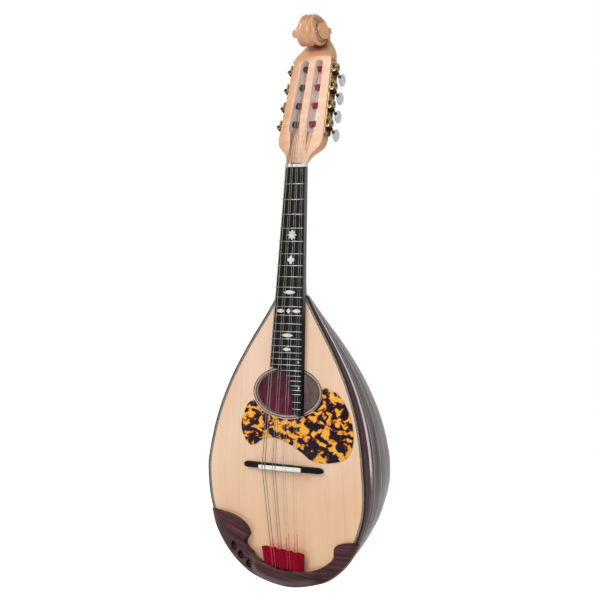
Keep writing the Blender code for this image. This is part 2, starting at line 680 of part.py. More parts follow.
def make_volute(parent):
    """The scroll: a ridged outer band, and on each side two turns that climb to a round knob at the eye."""
    rows = smooth_rows(VOLUTE_ROWS, VOLUTE_STEPS)
    turn = 8 * VOLUTE_STEPS
    count = len(rows) - 1
    drop = VOLUTE_BAND[0][1]
    verts, faces, at = [], [], {}

    def add(key, x, step, radius):
        at[key] = len(verts)
        verts.append((x, *volute_place(step, radius)))

    for k in range(turn + 1):
        radius, half = rows[k]
        for part, (share, fall) in enumerate(VOLUTE_BAND[1:-1], 1):
            add(("band", part, k), half * share, k, radius - fall)
    last = len(VOLUTE_BAND) - 1
    for side, end in ((1, 0), (-1, last)):
        for k in range(count + 1):
            radius, half = rows[k]
            add(("rim", side, k), side * half, k, radius - drop if k < turn else radius - 0.7)
            if k <= turn:
                at["band", end, k] = at["rim", side, k]
            if k >= turn:
                outer, low = rows[k - turn]
                add(("wall", side, k), side * (half - 0.8), k, radius)
                add(("foot", side, k), side * (low + 0.2), k, radius)
                add(("dish", side, k), side * (low - VOLUTE_DISH), k, (radius + outer - drop) / 2)
        for k in range(turn):
            for row, (x, radius) in enumerate(((rows[-1][1], KNOB_RADIUS), (KNOB_HALF - 1.0, KNOB_RADIUS),
                                               (KNOB_HALF, KNOB_RADIUS - 1.0))):
                add(("knob", side, row, k), side * x, k, radius)
        for k in range(turn, count):
            low = k - turn
            for inner, outer_key in ((("dish", side), ("rim", side)), (("foot", side), ("dish", side))):
                first = at[(*outer_key, low)] if outer_key[0] == "rim" else at[(*outer_key, k)]
                second = at[(*outer_key, low + 1)] if outer_key[0] == "rim" else at[(*outer_key, k + 1)]
                faces.append((first, second, at[(*inner, k + 1)], at[(*inner, k)]))
            for inner, outer_key in (("foot", "wall"), ("wall", "rim")):
                faces.append((at[inner, side, k], at[inner, side, k + 1],
                              at[outer_key, side, k + 1], at[outer_key, side, k]))
            after = (low + 1) % turn
            faces.append((at["rim", side, k], at["rim", side, k + 1], at["knob", side, 0, after],
                          at["knob", side, 0, low]))
            for row in range(2):
                faces.append((at["knob", side, row, low], at["knob", side, row, after],
                              at["knob", side, row + 1, after], at["knob", side, row + 1, low]))
        faces.append((at["rim", side, count], at["wall", side, count], at["foot", side, count],
                      at["dish", side, count], at["rim", side, turn], at["knob", side, 0, 0]))
        faces.append(tuple(at["knob", side, 2, k] for k in range(turn)))
    for k in range(turn):
        for part in range(last):
            faces.append((at["band", part, k], at["band", part + 1, k], at["band", part + 1, k + 1],
                          at["band", part, k + 1]))
    start = [at["band", part, 0] for part in range(last + 1)]
    close = [at["dish", -1, turn], at["foot", -1, turn], at["wall", -1, turn]]
    close += [at["band", part, turn] for part in range(last, -1, -1)]
    close += [at["wall", 1, turn], at["foot", 1, turn], at["dish", 1, turn]]
    faces.append(tuple(start + close))
    return cutter("scroll_body", verts, faces, parent=parent)


def belt(first, second, grow=0.0, steps=6):
    """Outline of a belt round two circles, as (x, z) points."""
    (xa, za, ra), (xb, zb, rb) = first, second
    apart = math.hypot(xa - xb, za - zb)
    lean = math.atan2(za - zb, xa - xb)
    wrap = math.asin((ra - rb) / apart)
    points = []
    for (x, z, r), low, high in ((first, -math.pi / 2 + wrap * -1, math.pi / 2 + wrap),
                                 (second, math.pi / 2 + wrap, 3 * math.pi / 2 - wrap)):
        for k in range(steps + 1):
            angle = lean + low + (high - low) * k / steps
            points.append((x + (r + grow) * math.cos(angle), z + (r + grow) * math.sin(angle)))
    return points


def side_matrix(side):
    """Frame on the head's side face at its lower end: X outwards, Z up the face, in head coordinates."""
    (low, wide), (high, narrow) = SIDE_LOW, SIDE_HIGH
    along = Vector((side * (narrow - wide), 0.0, high - low)).normalized()
    out = Vector((side * along.z, 0.0, -side * along.x))
    back = along.cross(out)
    frame = Matrix((out, back, along)).transposed().to_4x4()
    frame.translation = Vector((side * wide, ROLLER_DEPTH, low))
    return frame


def side_height(height):
    return (height - SIDE_LOW[0]) / math.cos(math.atan2(SIDE_LOW[1] - SIDE_HIGH[1], SIDE_HIGH[0] - SIDE_LOW[0]))


def roller_reach(height):
    """How far the roller runs in from the side face to its seat in the middle rib."""
    (x_top, z_top, r_top), (x_low, z_low, r_low) = SLOT_TOP, SLOT_BOTTOM
    t = (height - z_low) / (z_top - z_low)
    inner_wall = (x_low - r_low) + ((x_top - r_top) - (x_low - r_low)) * t
    face = SIDE_LOW[1] + (SIDE_HIGH[1] - SIDE_LOW[1]) * (height - SIDE_LOW[0]) / (SIDE_HIGH[0] - SIDE_LOW[0])
    return face - inner_wall + 1.2


def make_headstock(parent):
    rings = []
    local = head_matrix().inverted()
    half, front = NUT_WIDTH / 2 + 0.3, HEAD_START[1]
    first = [(half - HEAD_EASE, front), *back_section(half, front + HEAD_EASE, NECK_DEPTH, NECK_FULLNESS),
             (HEAD_EASE - half, front)]
    rings.append([tuple(local @ Vector((x, y, NUT_LENGTH + GAP))) for x, y in first])
    for height, *row in HEAD_ROWS:
        rings.append([(x, y, height) for x, y in head_section(*row)])
    head = solid("headstock", *loft(rings), maple(), parent=parent, smooth=35)
    combine(head, make_volute(parent), "UNION")
    for side in (1, -1):
        slot = [(side * x, z) for x, z in belt(SLOT_TOP, SLOT_BOTTOM)]
        slab = [[(x, y, z) for x, z in slot] for y in (-SLOT_PAST, HEAD_THICK + SLOT_PAST)]
        combine(head, cutter("slot_cut_%d" % side, *loft(slab), parent=parent))
        x_low = SLOT_BOTTOM[0]
        ramp = []
        for z, half, depth in ((RAMP_START, 2.6, 0.0), (SLOT_BOTTOM[1], SLOT_BOTTOM[2] * 0.9, RAMP_DEPTH)):
            x = x_low - 1.2 if z == RAMP_START else x_low
            ramp.append([(side * (x - half), -3.0, z), (side * (x + half), -3.0, z),
                         (side * (x + half * 0.6), depth, z), (side * (x - half * 0.6), depth, z)])
        combine(head, cutter("ramp_cut_%d" % side, *loft(ramp), parent=parent))
        round_bore = circle(bore_radius(ROLLER_RADIUS, BORE_SIDES), BORE_SIDES)
        for number, height in enumerate(TUNER_HEIGHTS):
            bore = [[(x, y, side_height(height) + z) for y, z in round_bore]
                    for x in (-roller_reach(height) - GAP, BORE_REACH)]
            combine(head, cutter("bore_cut_%d_%d" % (side, number), *loft(bore),
                                 matrix=placed(side_matrix(side)), parent=parent))
    return head


# Tubes and turned shapes
def tube(points, radius, sides):
    """A round tube along a path, its rings carried without twist."""
    points = [Vector(p) for p in points]
    rings = []
    normal = None
    for i, point in enumerate(points):
        ahead = points[min(i + 1, len(points) - 1)] - point
        behind = point - points[max(i - 1, 0)]
        tangent = (ahead.normalized() + behind.normalized()).normalized()
        if normal is None:
            normal = tangent.orthogonal().normalized()
        normal = (normal - tangent * normal.dot(tangent)).normalized()
        across = tangent.cross(normal)
        rings.append([tuple(point + normal * x + across * y) for x, y in circle(radius, sides)])
    return loft(rings)


def turned(profile, sides):
    """A shape turned about Y from (y, radius) rows."""
    return loft([[(x, y, z) for x, z in circle(radius, sides)] for y, radius in profile])


# Tuners, each built in the frame of its side of the head
def face_x(height):
    share = (height - SIDE_LOW[0]) / (SIDE_HIGH[0] - SIDE_LOW[0])
    return SIDE_LOW[1] + (SIDE_HIGH[1] - SIDE_LOW[1]) * share


def gear_out():
    """Distance from the side face to the middle of the gears and worms."""
    return GAP + PLATE_THICK + 0.35 + WORM_TIP


def worm_drop():
    return GEAR_PITCH_RADIUS + WORM_PITCH_RADIUS


def worm_lead():
    return math.tau * GEAR_PITCH_RADIUS / GEAR_TEETH


def gear_ring(x, slant):
    """Outline of the toothed wheel, four points a tooth, with a gap facing the worm."""
    ring = []
    for tooth in range(GEAR_TEETH):
        middle = math.tau * (tooth + 0.5) / GEAR_TEETH + slant
        for radius, turn in ((GEAR_ROOT, -GEAR_ROOT_TURN), (GEAR_TIP, -GEAR_TIP_TURN),
                             (GEAR_TIP, GEAR_TIP_TURN), (GEAR_ROOT, GEAR_ROOT_TURN)):
            angle = middle + turn
            ring.append((x, radius * math.sin(angle), -radius * math.cos(angle)))
    return ring


def make_roller(name, height, side, frame):
    """Roller, shaft, toothed wheel and screw head, turned about X."""
    teeth = GEAR_TEETH
    wheel = gear_out() - GEAR_WIDTH / 2
    lean = worm_lead() / (math.tau * WORM_PITCH_RADIUS) / GEAR_PITCH_RADIUS * GEAR_WIDTH / 2

    def plain(x, radius):
        return [(x, radius * math.sin(math.tau * k / teeth), -radius * math.cos(math.tau * k / teeth))
                for k in range(teeth)]

    inner = [plain(-roller_reach(height), ROLLER_RADIUS), plain(-0.2, ROLLER_RADIUS), plain(-0.2, SHAFT_RADIUS),
             plain(wheel, SHAFT_RADIUS)]
    head = [plain(wheel + GEAR_WIDTH, SCREW_RADIUS), plain(wheel + GEAR_WIDTH + SCREW_HEIGHT, SCREW_RADIUS)]
    verts = [p for ring in inner + head for p in ring]
    low = len(verts)
    verts += gear_ring(wheel, -lean)
    high = len(verts)
    verts += gear_ring(wheel + GEAR_WIDTH, lean)
    faces = [tuple(range(teeth)), tuple(range(5 * teeth, 6 * teeth))]
    for row in (0, 1, 2, 4):
        for k in range(teeth):
            a, b = row * teeth + k, row * teeth + (k + 1) % teeth
            faces.append((a, b, b + teeth, a + teeth))
    for k in range(teeth):
        after = (k + 1) % teeth
        for hub, rim in ((3 * teeth, low), (4 * teeth, high)):
            faces.append((hub + k, rim + 4 * k, rim + 4 * k + 1, rim + 4 * k + 2, rim + 4 * k + 3,
                          rim + 4 * after, hub + after))
        for j in range(4):
            a, b = 4 * k + j, (4 * k + j + 1) % (4 * teeth)
            faces.append((low + a, low + b, high + b, high + a))
    return solid("roller_" + name, verts, faces, bone(), placed(roller_matrix(height, side)), frame)


def roller_matrix(height, side):
    """Frame on a roller's axis, leaned so that the worm's button end lies lower."""
    return Matrix.Translation((0.0, 0.0, side_height(height))) @ Matrix.Rotation(-side * WORM_LEAN, 4, "X")


def worm_place(height, side):
    return placed(roller_matrix(height, side) @ Matrix.Translation((gear_out(), 0.0, -worm_drop())))


def make_worm(name, height, side, frame):
    half = WORM_LENGTH / 2
    rows = ((-half - GAP - LUG_THICK - 0.3, WORM_SHAFT), (-half, WORM_SHAFT), (-half, WORM_CORE),
            (half, WORM_CORE), (half, WORM_SHAFT), (BUTTON_START + SOCKET_DEPTH - 1.0, WORM_SHAFT))
    place = worm_place(height, side)
    core = turned([(side * y, radius) for y, radius in rows], WORM_SIDES)
    worm = solid("worm_shaft_" + name, *core, gilt(), place, frame)
    reach = half - 0.55
    root = WORM_CORE - 0.2
    steps = round(2 * reach / worm_lead() * WORM_TURN_STEPS)
    rings = []
    for k in range(steps + 1):
        y = -reach + 2 * reach * k / steps
        angle = math.tau * y / worm_lead()
        ring = []
        for radius, shift in ((root, -0.52), (WORM_TIP, -0.17), (WORM_TIP, 0.17), (root, 0.52)):
            ring.append((radius * math.sin(angle), y + shift, radius * math.cos(angle)))
        rings.append(ring)
    combine(worm, cutter("thread_" + name, *loft(rings), matrix=place, parent=frame), "UNION")
    return worm


def make_button(name, height, side, frame):
    rings = []
    for share, wide, tall in BUTTON_ROWS:
        y = side * (BUTTON_START + share * BUTTON_LENGTH)
        half_thick, half_tall = wide * BUTTON_THICK / 2, tall * BUTTON_HEIGHT / 2
        rings.append([(x * half_thick, y, z * half_tall) for x, z in circle(1.0, BUTTON_SIDES)])
    button = solid("button_" + name, *loft(rings), pearl(), worm_place(height, side), frame, smooth=50)
    eye = bore_radius(WORM_SHAFT, WORM_SIDES)
    bore = turned([(side * (BUTTON_START - 1.0), eye), (side * (BUTTON_START + SOCKET_DEPTH), eye)], WORM_SIDES)
    combine(button, cutter("socket_" + name, *bore, matrix=worm_place(height, side), parent=frame))
    return button


def make_plate(name, side, frame):
    """Side plate with a pointed tip at each end, bored for the rollers, with two lugs for each worm."""
    rings = [[(x, side * y, z) for y, z in PLATE_EDGE] for x in (GAP, GAP + PLATE_THICK)]
    plate = solid(name, *loft(rings), gilt(), parent=frame)
    centre = gear_out()
    inside = WORM_LENGTH / 2 + GAP
    eye = bore_radius(WORM_SHAFT, WORM_SIDES)
    foot = GAP + PLATE_THICK / 2
    edge = ((foot, -2.3), (centre + 0.9, -2.3), (centre + eye + 0.9, -1.1), (centre + eye + 0.9, 1.1),
            (centre + 0.9, 2.3), (foot, 2.3))
    round_hole = circle(bore_radius(SHAFT_RADIUS, BORE_SIDES), BORE_SIDES)
    for number, height in enumerate(TUNER_HEIGHTS):
        hole = [[(x, y, side_height(height) + z) for y, z in round_hole] for x in (-BORE_REACH, BORE_REACH)]
        combine(plate, cutter("shaft_cut_%d_%s" % (number, name), *loft(hole), parent=frame))
        leaned = placed(roller_matrix(height, side))
        for end in (1, -1):
            near, far = end * inside, end * (inside + LUG_THICK)
            lug = [[(x, y, z - worm_drop()) for x, z in edge] for y in (near, far)]
            lug_name = "lug_%d_%d_%s" % (number, end, name)
            combine(plate, cutter(lug_name, *loft(lug), matrix=leaned, parent=frame), "UNION")
        bore = turned([(-BORE_REACH, eye), (BORE_REACH, eye)], WORM_SIDES)
        place = worm_place(height, side)
        combine(plate, cutter("lug_cut_%d_%s" % (number, name), *bore, matrix=place, parent=frame))
    return plate


# Strings and their windings
def take_off(index, side, height, lane):
    """Where the string leaves its roller and its way to the nut, in the side's frame at the axis."""
    radius = ROLLER_RADIUS + GAP + GAUGES[index] / 2
    nut = Vector((string_x(index, COURSE_PITCH_NUT, PAIR_PITCH_NUT), nut_string_y(index), NUT_LENGTH))
    nut = side_matrix(side).inverted() @ (head_matrix().inverted() @ nut)
    nut.z -= side_height(height)
    front, towards = -side * nut.y, -nut.z
    turn = math.atan2(towards, front) - math.acos(radius / math.hypot(front, towards))
    out = (lane - face_x(height)) / math.cos(math.atan2(SIDE_LOW[1] - SIDE_HIGH[1], SIDE_HIGH[0] - SIDE_LOW[0]))
    start = winding_point(side, radius, turn, out)
    return radius, turn, out, start, (nut - start).normalized()


def winding_point(side, radius, turn, out):
    return Vector((out, -side * radius * math.cos(turn), -radius * math.sin(turn)))


def make_winding(index, side, height, lane, frame):
    radius, turn, out, start, away = take_off(index, side, height, lane)
    pitch = GAUGES[index] + COIL_GAP
    points = [start + away * TAKE_OFF]
    for k in range(TURNS * TURN_POINTS + 1):
        share = k / TURN_POINTS
        points.append(winding_point(side, radius, turn - math.tau * share, out + pitch * share))
    place = placed(Matrix.Translation((0.0, 0.0, side_height(height))))
    name = "winding_" + STRING_NAMES[index]
    print(name, "least gap between turns %.2f mm" % least_gap(points, GAUGES[index]))
    return solid(name, *tube(points, GAUGES[index] / 2, WINDING_SIDES), steel(), place, frame, smooth=50)


def least_gap(points, gauge):
    """Least clear distance between points more than half a turn apart."""
    apart = TURN_POINTS // 2
    return min((a - b).length for i, a in enumerate(points) for b in points[i + apart:]) - gauge


def make_string(index, side, height, lane):
    _, _, _, start, away = take_off(index, side, height, lane)
    near, far = ROLLER_RADIUS + GAP, ROLLER_RADIUS + GAP + GAUGES[index]
    gap = math.sqrt(TAKE_OFF ** 2 + far ** 2 - near ** 2) - TAKE_OFF + 0.1
    first = start + away * (TAKE_OFF + max(gap, GAP))
    first.z += side_height(height)
    first = head_matrix() @ (side_matrix(side) @ first)
    nut_x = string_x(index, COURSE_PITCH_NUT, PAIR_PITCH_NUT)
    bridge_x = string_x(index, COURSE_PITCH_BRIDGE, PAIR_PITCH)
    hook_x = string_x(index, COURSE_PITCH_TAIL, PAIR_PITCH)
    slope = (string_y(HOOK_Z) + SADDLE_HEIGHT) / (HOOK_Z - bend_z())
    past = STRING_PAST_HOOK
    points = [first, (nut_x, nut_string_y(index), NUT_LENGTH), (nut_x, nut_string_y(index), 0.0),
              (bridge_x, -SADDLE_HEIGHT, bend_z()), (hook_x, string_y(HOOK_Z), HOOK_Z),
              (hook_x, string_y(HOOK_Z) - slope * past, HOOK_Z - past)]
    return solid("string_" + STRING_NAMES[index], *tube(points, GAUGES[index] / 2, STRING_FACETS), steel())


# Tail end
def make_tailpiece():
    """A plate on the top's lower end with an upright notched comb for the strings."""
    high, low = (HOOK_Z + reach for reach in PLATE_REACH)
    ring = [(top_front(high) - GAP, high), (top_front(high) - GAP - 1.2, high),
            (top_front(low) - GAP - 1.2, low), (top_front(low) - GAP, low)]
    plate = solid("tailpiece", *loft([[(x, y, z) for y, z in ring] for x in (-PLATE_HALF, PLATE_HALF)]), gilt())
    comb = HOOK_Z - 1.6
    tops = [(string_x(i, COURSE_PITCH_TAIL, PAIR_PITCH), string_y(comb), gauge / 2)
            for i, gauge in enumerate(GAUGES)]
    flange = notched_bar("comb", PLATE_HALF - 0.5, comb - 0.6, comb + 0.6, top_front(comb) - GAP - 0.6,
                         tops, 0.8, gilt())
    flange.hide_render = True
    flange.display_type = "WIRE"
    combine(plate, flange, "UNION")
    return plate


def make_felt():
    """Felt woven across the string courses, over one and under the next, and hung a little askew."""
    steps = 24
    left, right = FELT_SIDES
    corners = ((0.0, -1), (FELT_HEIGHT, -1), (FELT_HEIGHT, 1), (0.0, 1))
    rings = []
    for k in range(steps + 1):
        across = left + (right - left) * k / steps
        ring = []
        for drop, side in corners:
            z = FELT_TOP_Z - drop - FELT_SHEAR * across
            share = (z - HOOK_Z) / (bend_z() - HOOK_Z)
            pitch = COURSE_PITCH_TAIL + (COURSE_PITCH_BRIDGE - COURSE_PITCH_TAIL) * share
            wave = FELT_WAVE * math.cos(math.pi * (across / COURSE_PITCH_TAIL - 0.5))
            ring.append((across * pitch / COURSE_PITCH_TAIL, string_y(z) + wave + side * FELT_THICK / 2, z))
        rings.append(ring)
    return solid("damper_felt", *loft(rings), finish("red_felt", (0.3, 0.0, 0.02), 0.9))


def cover_stations():
    """Outline points and outward directions under the cover, from the left wing to the right one."""
    rows = [(row[1], row[0]) for row in body_rows()]
    line = [(-x, z) for x, z in rows] + rows[-2::-1]
    tail = len(rows) - 1
    found = []
    for i in range(1, len(line) - 1):
        dx = line[i + 1][0] - line[i - 1][0]
        dz = line[i + 1][1] - line[i - 1][1]
        run = math.hypot(dx, dz)
        limit = COVER_LEFT_Z if i < tail else COVER_RIGHT_Z
        if line[i][1] < limit:
            found.append((line[i], (dz / run, -dx / run)))
    return found


def make_tail_cover():
    stations = cover_stations()
    edge = resampled(smooth_rows(COVER_EDGE, 3), len(stations))
    rings = []
    inside = GAP + COVER_FIT
    outside = inside + COVER_LIP_THICK
    for ((x, z), (out_x, out_z)), (edge_x, edge_z) in zip(stations, edge):
        ring = [(x + out_x * outside, top_front(z) + back, z + out_z * outside)
                for back in (COVER_LIP, -COVER_EDGE_THICK)]
        under = []
        for share, rise, lift in ((0.3, 0.85, 0.85), (0.75, 1.0, 1.0), (1.0, 0.92, 1.0)):
            at_x, at_z = x + (edge_x - x) * share, z + (edge_z - z) * share
            middle = 1.0 - blend(*COVER_ARCH_SIDES, abs(at_x))
            side_height_here = COVER_LOBE_HEIGHT if at_x < 0 else COVER_RIGHT_HEIGHT
            crown = side_height_here + (COVER_ARCH_HEIGHT - side_height_here) * middle
            height = COVER_EDGE_THICK + (crown - COVER_EDGE_THICK) * rise
            room = GAP + (COVER_ARCH_ROOM - GAP) * middle * lift
            ring.append((at_x, top_front(at_z) - height, at_z))
            under.append((at_x, top_front(at_z) - room, at_z))
        ring += under[::-1]
        ring += [(x + out_x * inside, top_front(z) + back, z + out_z * inside) for back in (-GAP, COVER_LIP)]
        rings.append(ring)
    cover = solid("tail_cover", *loft(rings), rosewood())
    for number, (x, z, radius) in enumerate(DIMPLES):
        ball = DIMPLE_BALL * radius
        rows = [(ball * math.sin(turn * math.pi / 2), ball * math.cos(turn * math.pi / 2) + 0.05)
                for turn in (-0.98, -0.7, -0.35, 0.0, 0.35, 0.7, 0.98)]
        place = placed(Matrix.Translation((x, top_front(z) - COVER_LOBE_HEIGHT - DIMPLE_RISE * radius, z)))
        combine(cover, cutter("dimple_%d" % number, *turned(rows, 10), matrix=place))
    return cover


def make_frame(name, matrix, parent=None):
    empty = bpy.data.objects.new(name, None)
    bpy.context.scene.collection.objects.link(empty)
    empty.parent = parent
    empty.matrix_local = placed(matrix)
    return empty


def build():
    clear_scene()
    make_bowl()
    make_soundboard()
    make_rosette()
    make_binding()
    make_pickguard()
    make_bridge()
    make_fingerboard()
    make_nut()
    make_neck()
    make_braces()
    inner_block("neck_block", *NECK_BLOCK_ROWS)
    inner_block("tail_block", *TAIL_BLOCK_ROWS)
    make_tailpiece()
    make_felt()
    make_tail_cover()
    head_frame = make_frame("head_frame", head_matrix())
    make_headstock(head_frame)
    for side, plate_name, order, lanes in ((1, "tuner_plate_right", (4, 5, 6, 7), LANES),
                                           (-1, "tuner_plate_left", (3, 2, 1, 0), BASS_LANES)):
        frame = make_frame("side_frame_%d" % side, side_matrix(side), head_frame)
        make_plate(plate_name, side, frame)
        for index, height, lane in zip(order, TUNER_HEIGHTS, lanes):
            name = STRING_NAMES[index]
            make_roller(name, height, side, frame)
            make_worm(name, height, side, frame)
            make_button(name, height, side, frame)
            make_winding(index, side, height, lane, frame)
            make_string(index, side, height, lane)


build()
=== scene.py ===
"""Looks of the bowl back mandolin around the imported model. Lengths are in millimetres until a mesh is made."""

import math

import bmesh
import bpy
from mathutils import Matrix, Vector


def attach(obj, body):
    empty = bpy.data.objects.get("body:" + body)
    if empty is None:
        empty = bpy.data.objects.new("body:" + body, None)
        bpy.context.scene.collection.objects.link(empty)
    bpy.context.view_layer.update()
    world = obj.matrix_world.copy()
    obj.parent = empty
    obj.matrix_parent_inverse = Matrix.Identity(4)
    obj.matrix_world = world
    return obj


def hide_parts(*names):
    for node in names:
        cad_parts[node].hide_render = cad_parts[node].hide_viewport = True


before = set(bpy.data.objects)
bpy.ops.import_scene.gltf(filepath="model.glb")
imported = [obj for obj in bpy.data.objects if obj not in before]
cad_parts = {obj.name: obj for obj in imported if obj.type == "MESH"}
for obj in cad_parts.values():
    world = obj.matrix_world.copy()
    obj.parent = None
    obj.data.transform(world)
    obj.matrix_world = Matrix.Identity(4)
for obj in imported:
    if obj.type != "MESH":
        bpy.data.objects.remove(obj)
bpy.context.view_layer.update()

MM = 0.001
BODY_ROOT = "instrument"


# Colours and nodes
def linear(hex_code):
    """Linear colour with alpha from an sRGB hex code."""
    values = [int(hex_code[i:i + 2], 16) / 255 for i in (1, 3, 5)]
    return [v / 12.92 if v <= 0.04045 else ((v + 0.055) / 1.055) ** 2.4 for v in values] + [1.0]


def add(tree, kind, settings=None, links=None):
    """Adds a node, sets its properties, and sets or links its inputs."""
    node = tree.nodes.new(kind)
    for key, value in (settings or {}).items():
        setattr(node, key, value)
    for key, value in (links or {}).items():
        if isinstance(value, bpy.types.NodeSocket):
            tree.links.new(value, node.inputs[key])
        else:
            node.inputs[key].default_value = value
    return node


def surface(name, **values):
    """A new material with one Principled shader, its uniform values set on the shader's own sockets."""
    material = bpy.data.materials.new(name)
    material.use_nodes = True
    tree = material.node_tree
    shader = tree.nodes["Principled BSDF"]
    for key, value in values.items():
        shader.inputs[key.replace("_", " ")].default_value = value
    return material, tree, shader


def ramp(tree, factor, *stops):
    """A colour ramp through (place, hex) stops."""
    node = add(tree, "ShaderNodeValToRGB", links={"Fac": factor})
    band = node.color_ramp
    while len(band.elements) < len(stops):
        band.elements.new(0.5)
    for element, (place, code) in zip(band.elements, stops):
        element.position = place
        element.color = linear(code)
    return node.outputs["Color"]


def places(tree, stretch):
    """Object coordinates in units of millimetres divided by the three given sizes."""
    coordinates = add(tree, "ShaderNodeTexCoord").outputs["Object"]
    scale = [1000.0 / size for size in stretch]
    return add(tree, "ShaderNodeMapping", links={"Vector": coordinates, "Scale": scale}).outputs["Vector"]


# Materials
def lacquered_spruce():
    """Quarter sawn spruce under clear varnish: fine straight grain along the top, a warm tan, painted darker and deeper
    towards the tail as shade.
    """
    material, tree, shader = surface("lacquered_spruce", Roughness=0.32, Coat_Weight=0.35, Coat_Roughness=0.12)
    wander = add(tree, "ShaderNodeTexNoise", links={"Vector": places(tree, (60, 60, 400)), "Scale": 1.0, "Detail": 3.0})
    grain = places(tree, (1.3, 40, 900))
    shifted = add(tree, "ShaderNodeVectorMath", {"operation": "MULTIPLY_ADD"},
                  {0: wander.outputs["Color"], 1: (9.0, 0.0, 0.0), 2: grain}).outputs["Vector"]
    lines = add(tree, "ShaderNodeTexNoise", links={"Vector": shifted, "Scale": 1.0, "Detail": 2.0, "Roughness": 0.6})
    pale = ramp(tree, lines.outputs["Fac"], (0.25, "#F2CBA8"), (0.45, "#F9D5B7"), (0.75, "#FBDCC2"))
    painted_shade_tone = ramp(tree, lines.outputs["Fac"], (0.25, "#EDBC8E"), (0.45, "#F5C79C"), (0.75, "#F8D0A8"))
    height = add(tree, "ShaderNodeSeparateXYZ", links={"Vector": places(tree, (1, 1, 1))}).outputs["Z"]
    # Painted shade: towards the tail the tan mixes into the darker, deeper tone.
    low = add(tree, "ShaderNodeMapRange", {"interpolation_type": "SMOOTHSTEP"},
              {"Value": height, "From Min": -250.0, "From Max": -440.0}).outputs["Result"]
    base = add(tree, "ShaderNodeMix", {"data_type": "RGBA"}, {"Factor": low, "A": pale, "B": painted_shade_tone}).outputs["Result"]
    patches = add(tree, "ShaderNodeTexNoise", links={"Vector": places(tree, (70, 70, 110)), "Scale": 1.0, "Detail": 3.0})
    shade = ramp(tree, patches.outputs["Fac"], (0.3, "#F2DCC4"), (0.6, "#FFFFFF"))
    colour = add(tree, "ShaderNodeMix", {"data_type": "RGBA", "blend_type": "MULTIPLY"}, {"Factor": 0.5, "A": base, "B": shade})
    tree.links.new(colour.outputs["Result"], shader.inputs["Base Color"])
    bump = add(tree, "ShaderNodeBump", links={"Strength": 0.12, "Distance": 0.0002, "Height": lines.outputs["Fac"]})
    tree.links.new(bump.outputs["Normal"], shader.inputs["Normal"])
    return material


def rib_rosewood(name="rib_rosewood", dark="#1E1113", mid="#33191C", light="#6B4442", gloss=0.45):
    """Polished rosewood staves: brown black with red streaks and a wavy sheen along each stave, each its own tone."""
    material, tree, shader = surface(name, Roughness=0.32, Specular_IOR_Level=gloss)
    uv = add(tree, "ShaderNodeUVMap").outputs["UV"]
    split = add(tree, "ShaderNodeSeparateXYZ", links={"Vector": uv})
    stave = add(tree, "ShaderNodeMath", {"operation": "FLOOR"}, {0: split.outputs["X"]}).outputs["Value"]
    tone = add(tree, "ShaderNodeTexWhiteNoise", {"noise_dimensions": "1D"}, {"W": stave}).outputs["Value"]
    along = add(tree, "ShaderNodeVectorMath", {"operation": "MULTIPLY"}, {0: uv, 1: (9.0, 5.0, 1.0)}).outputs["Vector"]
    offset = add(tree, "ShaderNodeCombineXYZ", links={"Y": tone, "Z": stave}).outputs["Vector"]
    spread = add(tree, "ShaderNodeVectorMath", {"operation": "ADD"}, {0: along, 1: offset}).outputs["Vector"]
    streaks = add(tree, "ShaderNodeTexNoise", links={"Vector": spread, "Scale": 1.6, "Detail": 6.0, "Roughness": 0.65})
    colour = ramp(tree, streaks.outputs["Fac"], (0.3, dark), (0.52, mid), (0.78, light))
    dim = add(tree, "ShaderNodeMapRange", links={"Value": tone, "To Min": 0.65, "To Max": 1.25}).outputs["Result"]
    toned = add(tree, "ShaderNodeVectorMath", {"operation": "SCALE"}, {0: colour, "Scale": dim})
    tree.links.new(toned.outputs["Vector"], shader.inputs["Base Color"])
    figure = add(tree, "ShaderNodeVectorMath", {"operation": "MULTIPLY"}, {0: uv, 1: (2.6, 1.1, 1.0)}).outputs["Vector"]
    waves = add(tree, "ShaderNodeTexNoise", links={"Vector": figure, "Scale": 1.0, "Detail": 4.0, "Distortion": 0.6})
    sheen = add(tree, "ShaderNodeMapRange", links={"Value": waves.outputs["Fac"], "From Min": 0.35, "From Max": 0.65,
                                                   "To Min": 0.4 * gloss, "To Max": 1.5 * gloss}).outputs["Result"]
    tree.links.new(sheen, shader.inputs["Specular IOR Level"])
    return material


def rim_painted_highlight():
    """Painted highlight along the rim rib: a pale pink white line, fading to the ribs' grey brown below the bridge."""
    material, tree, shader = surface("rim_painted_highlight", Roughness=0.25, Specular_IOR_Level=0.3)
    height = add(tree, "ShaderNodeSeparateXYZ", links={"Vector": places(tree, (1, 1, 1))}).outputs["Z"]
    share = add(tree, "ShaderNodeMapRange", links={"Value": height, "From Min": -352.0, "From Max": -328.0}).outputs["Result"]
    # Painted highlight: bright above the bridge, fading to grey brown below it.
    tree.links.new(ramp(tree, share, (0.0, "#54403F"), (0.5, "#B49A9A"), (1.0, "#FFF2F0")), shader.inputs["Base Color"])
    return material


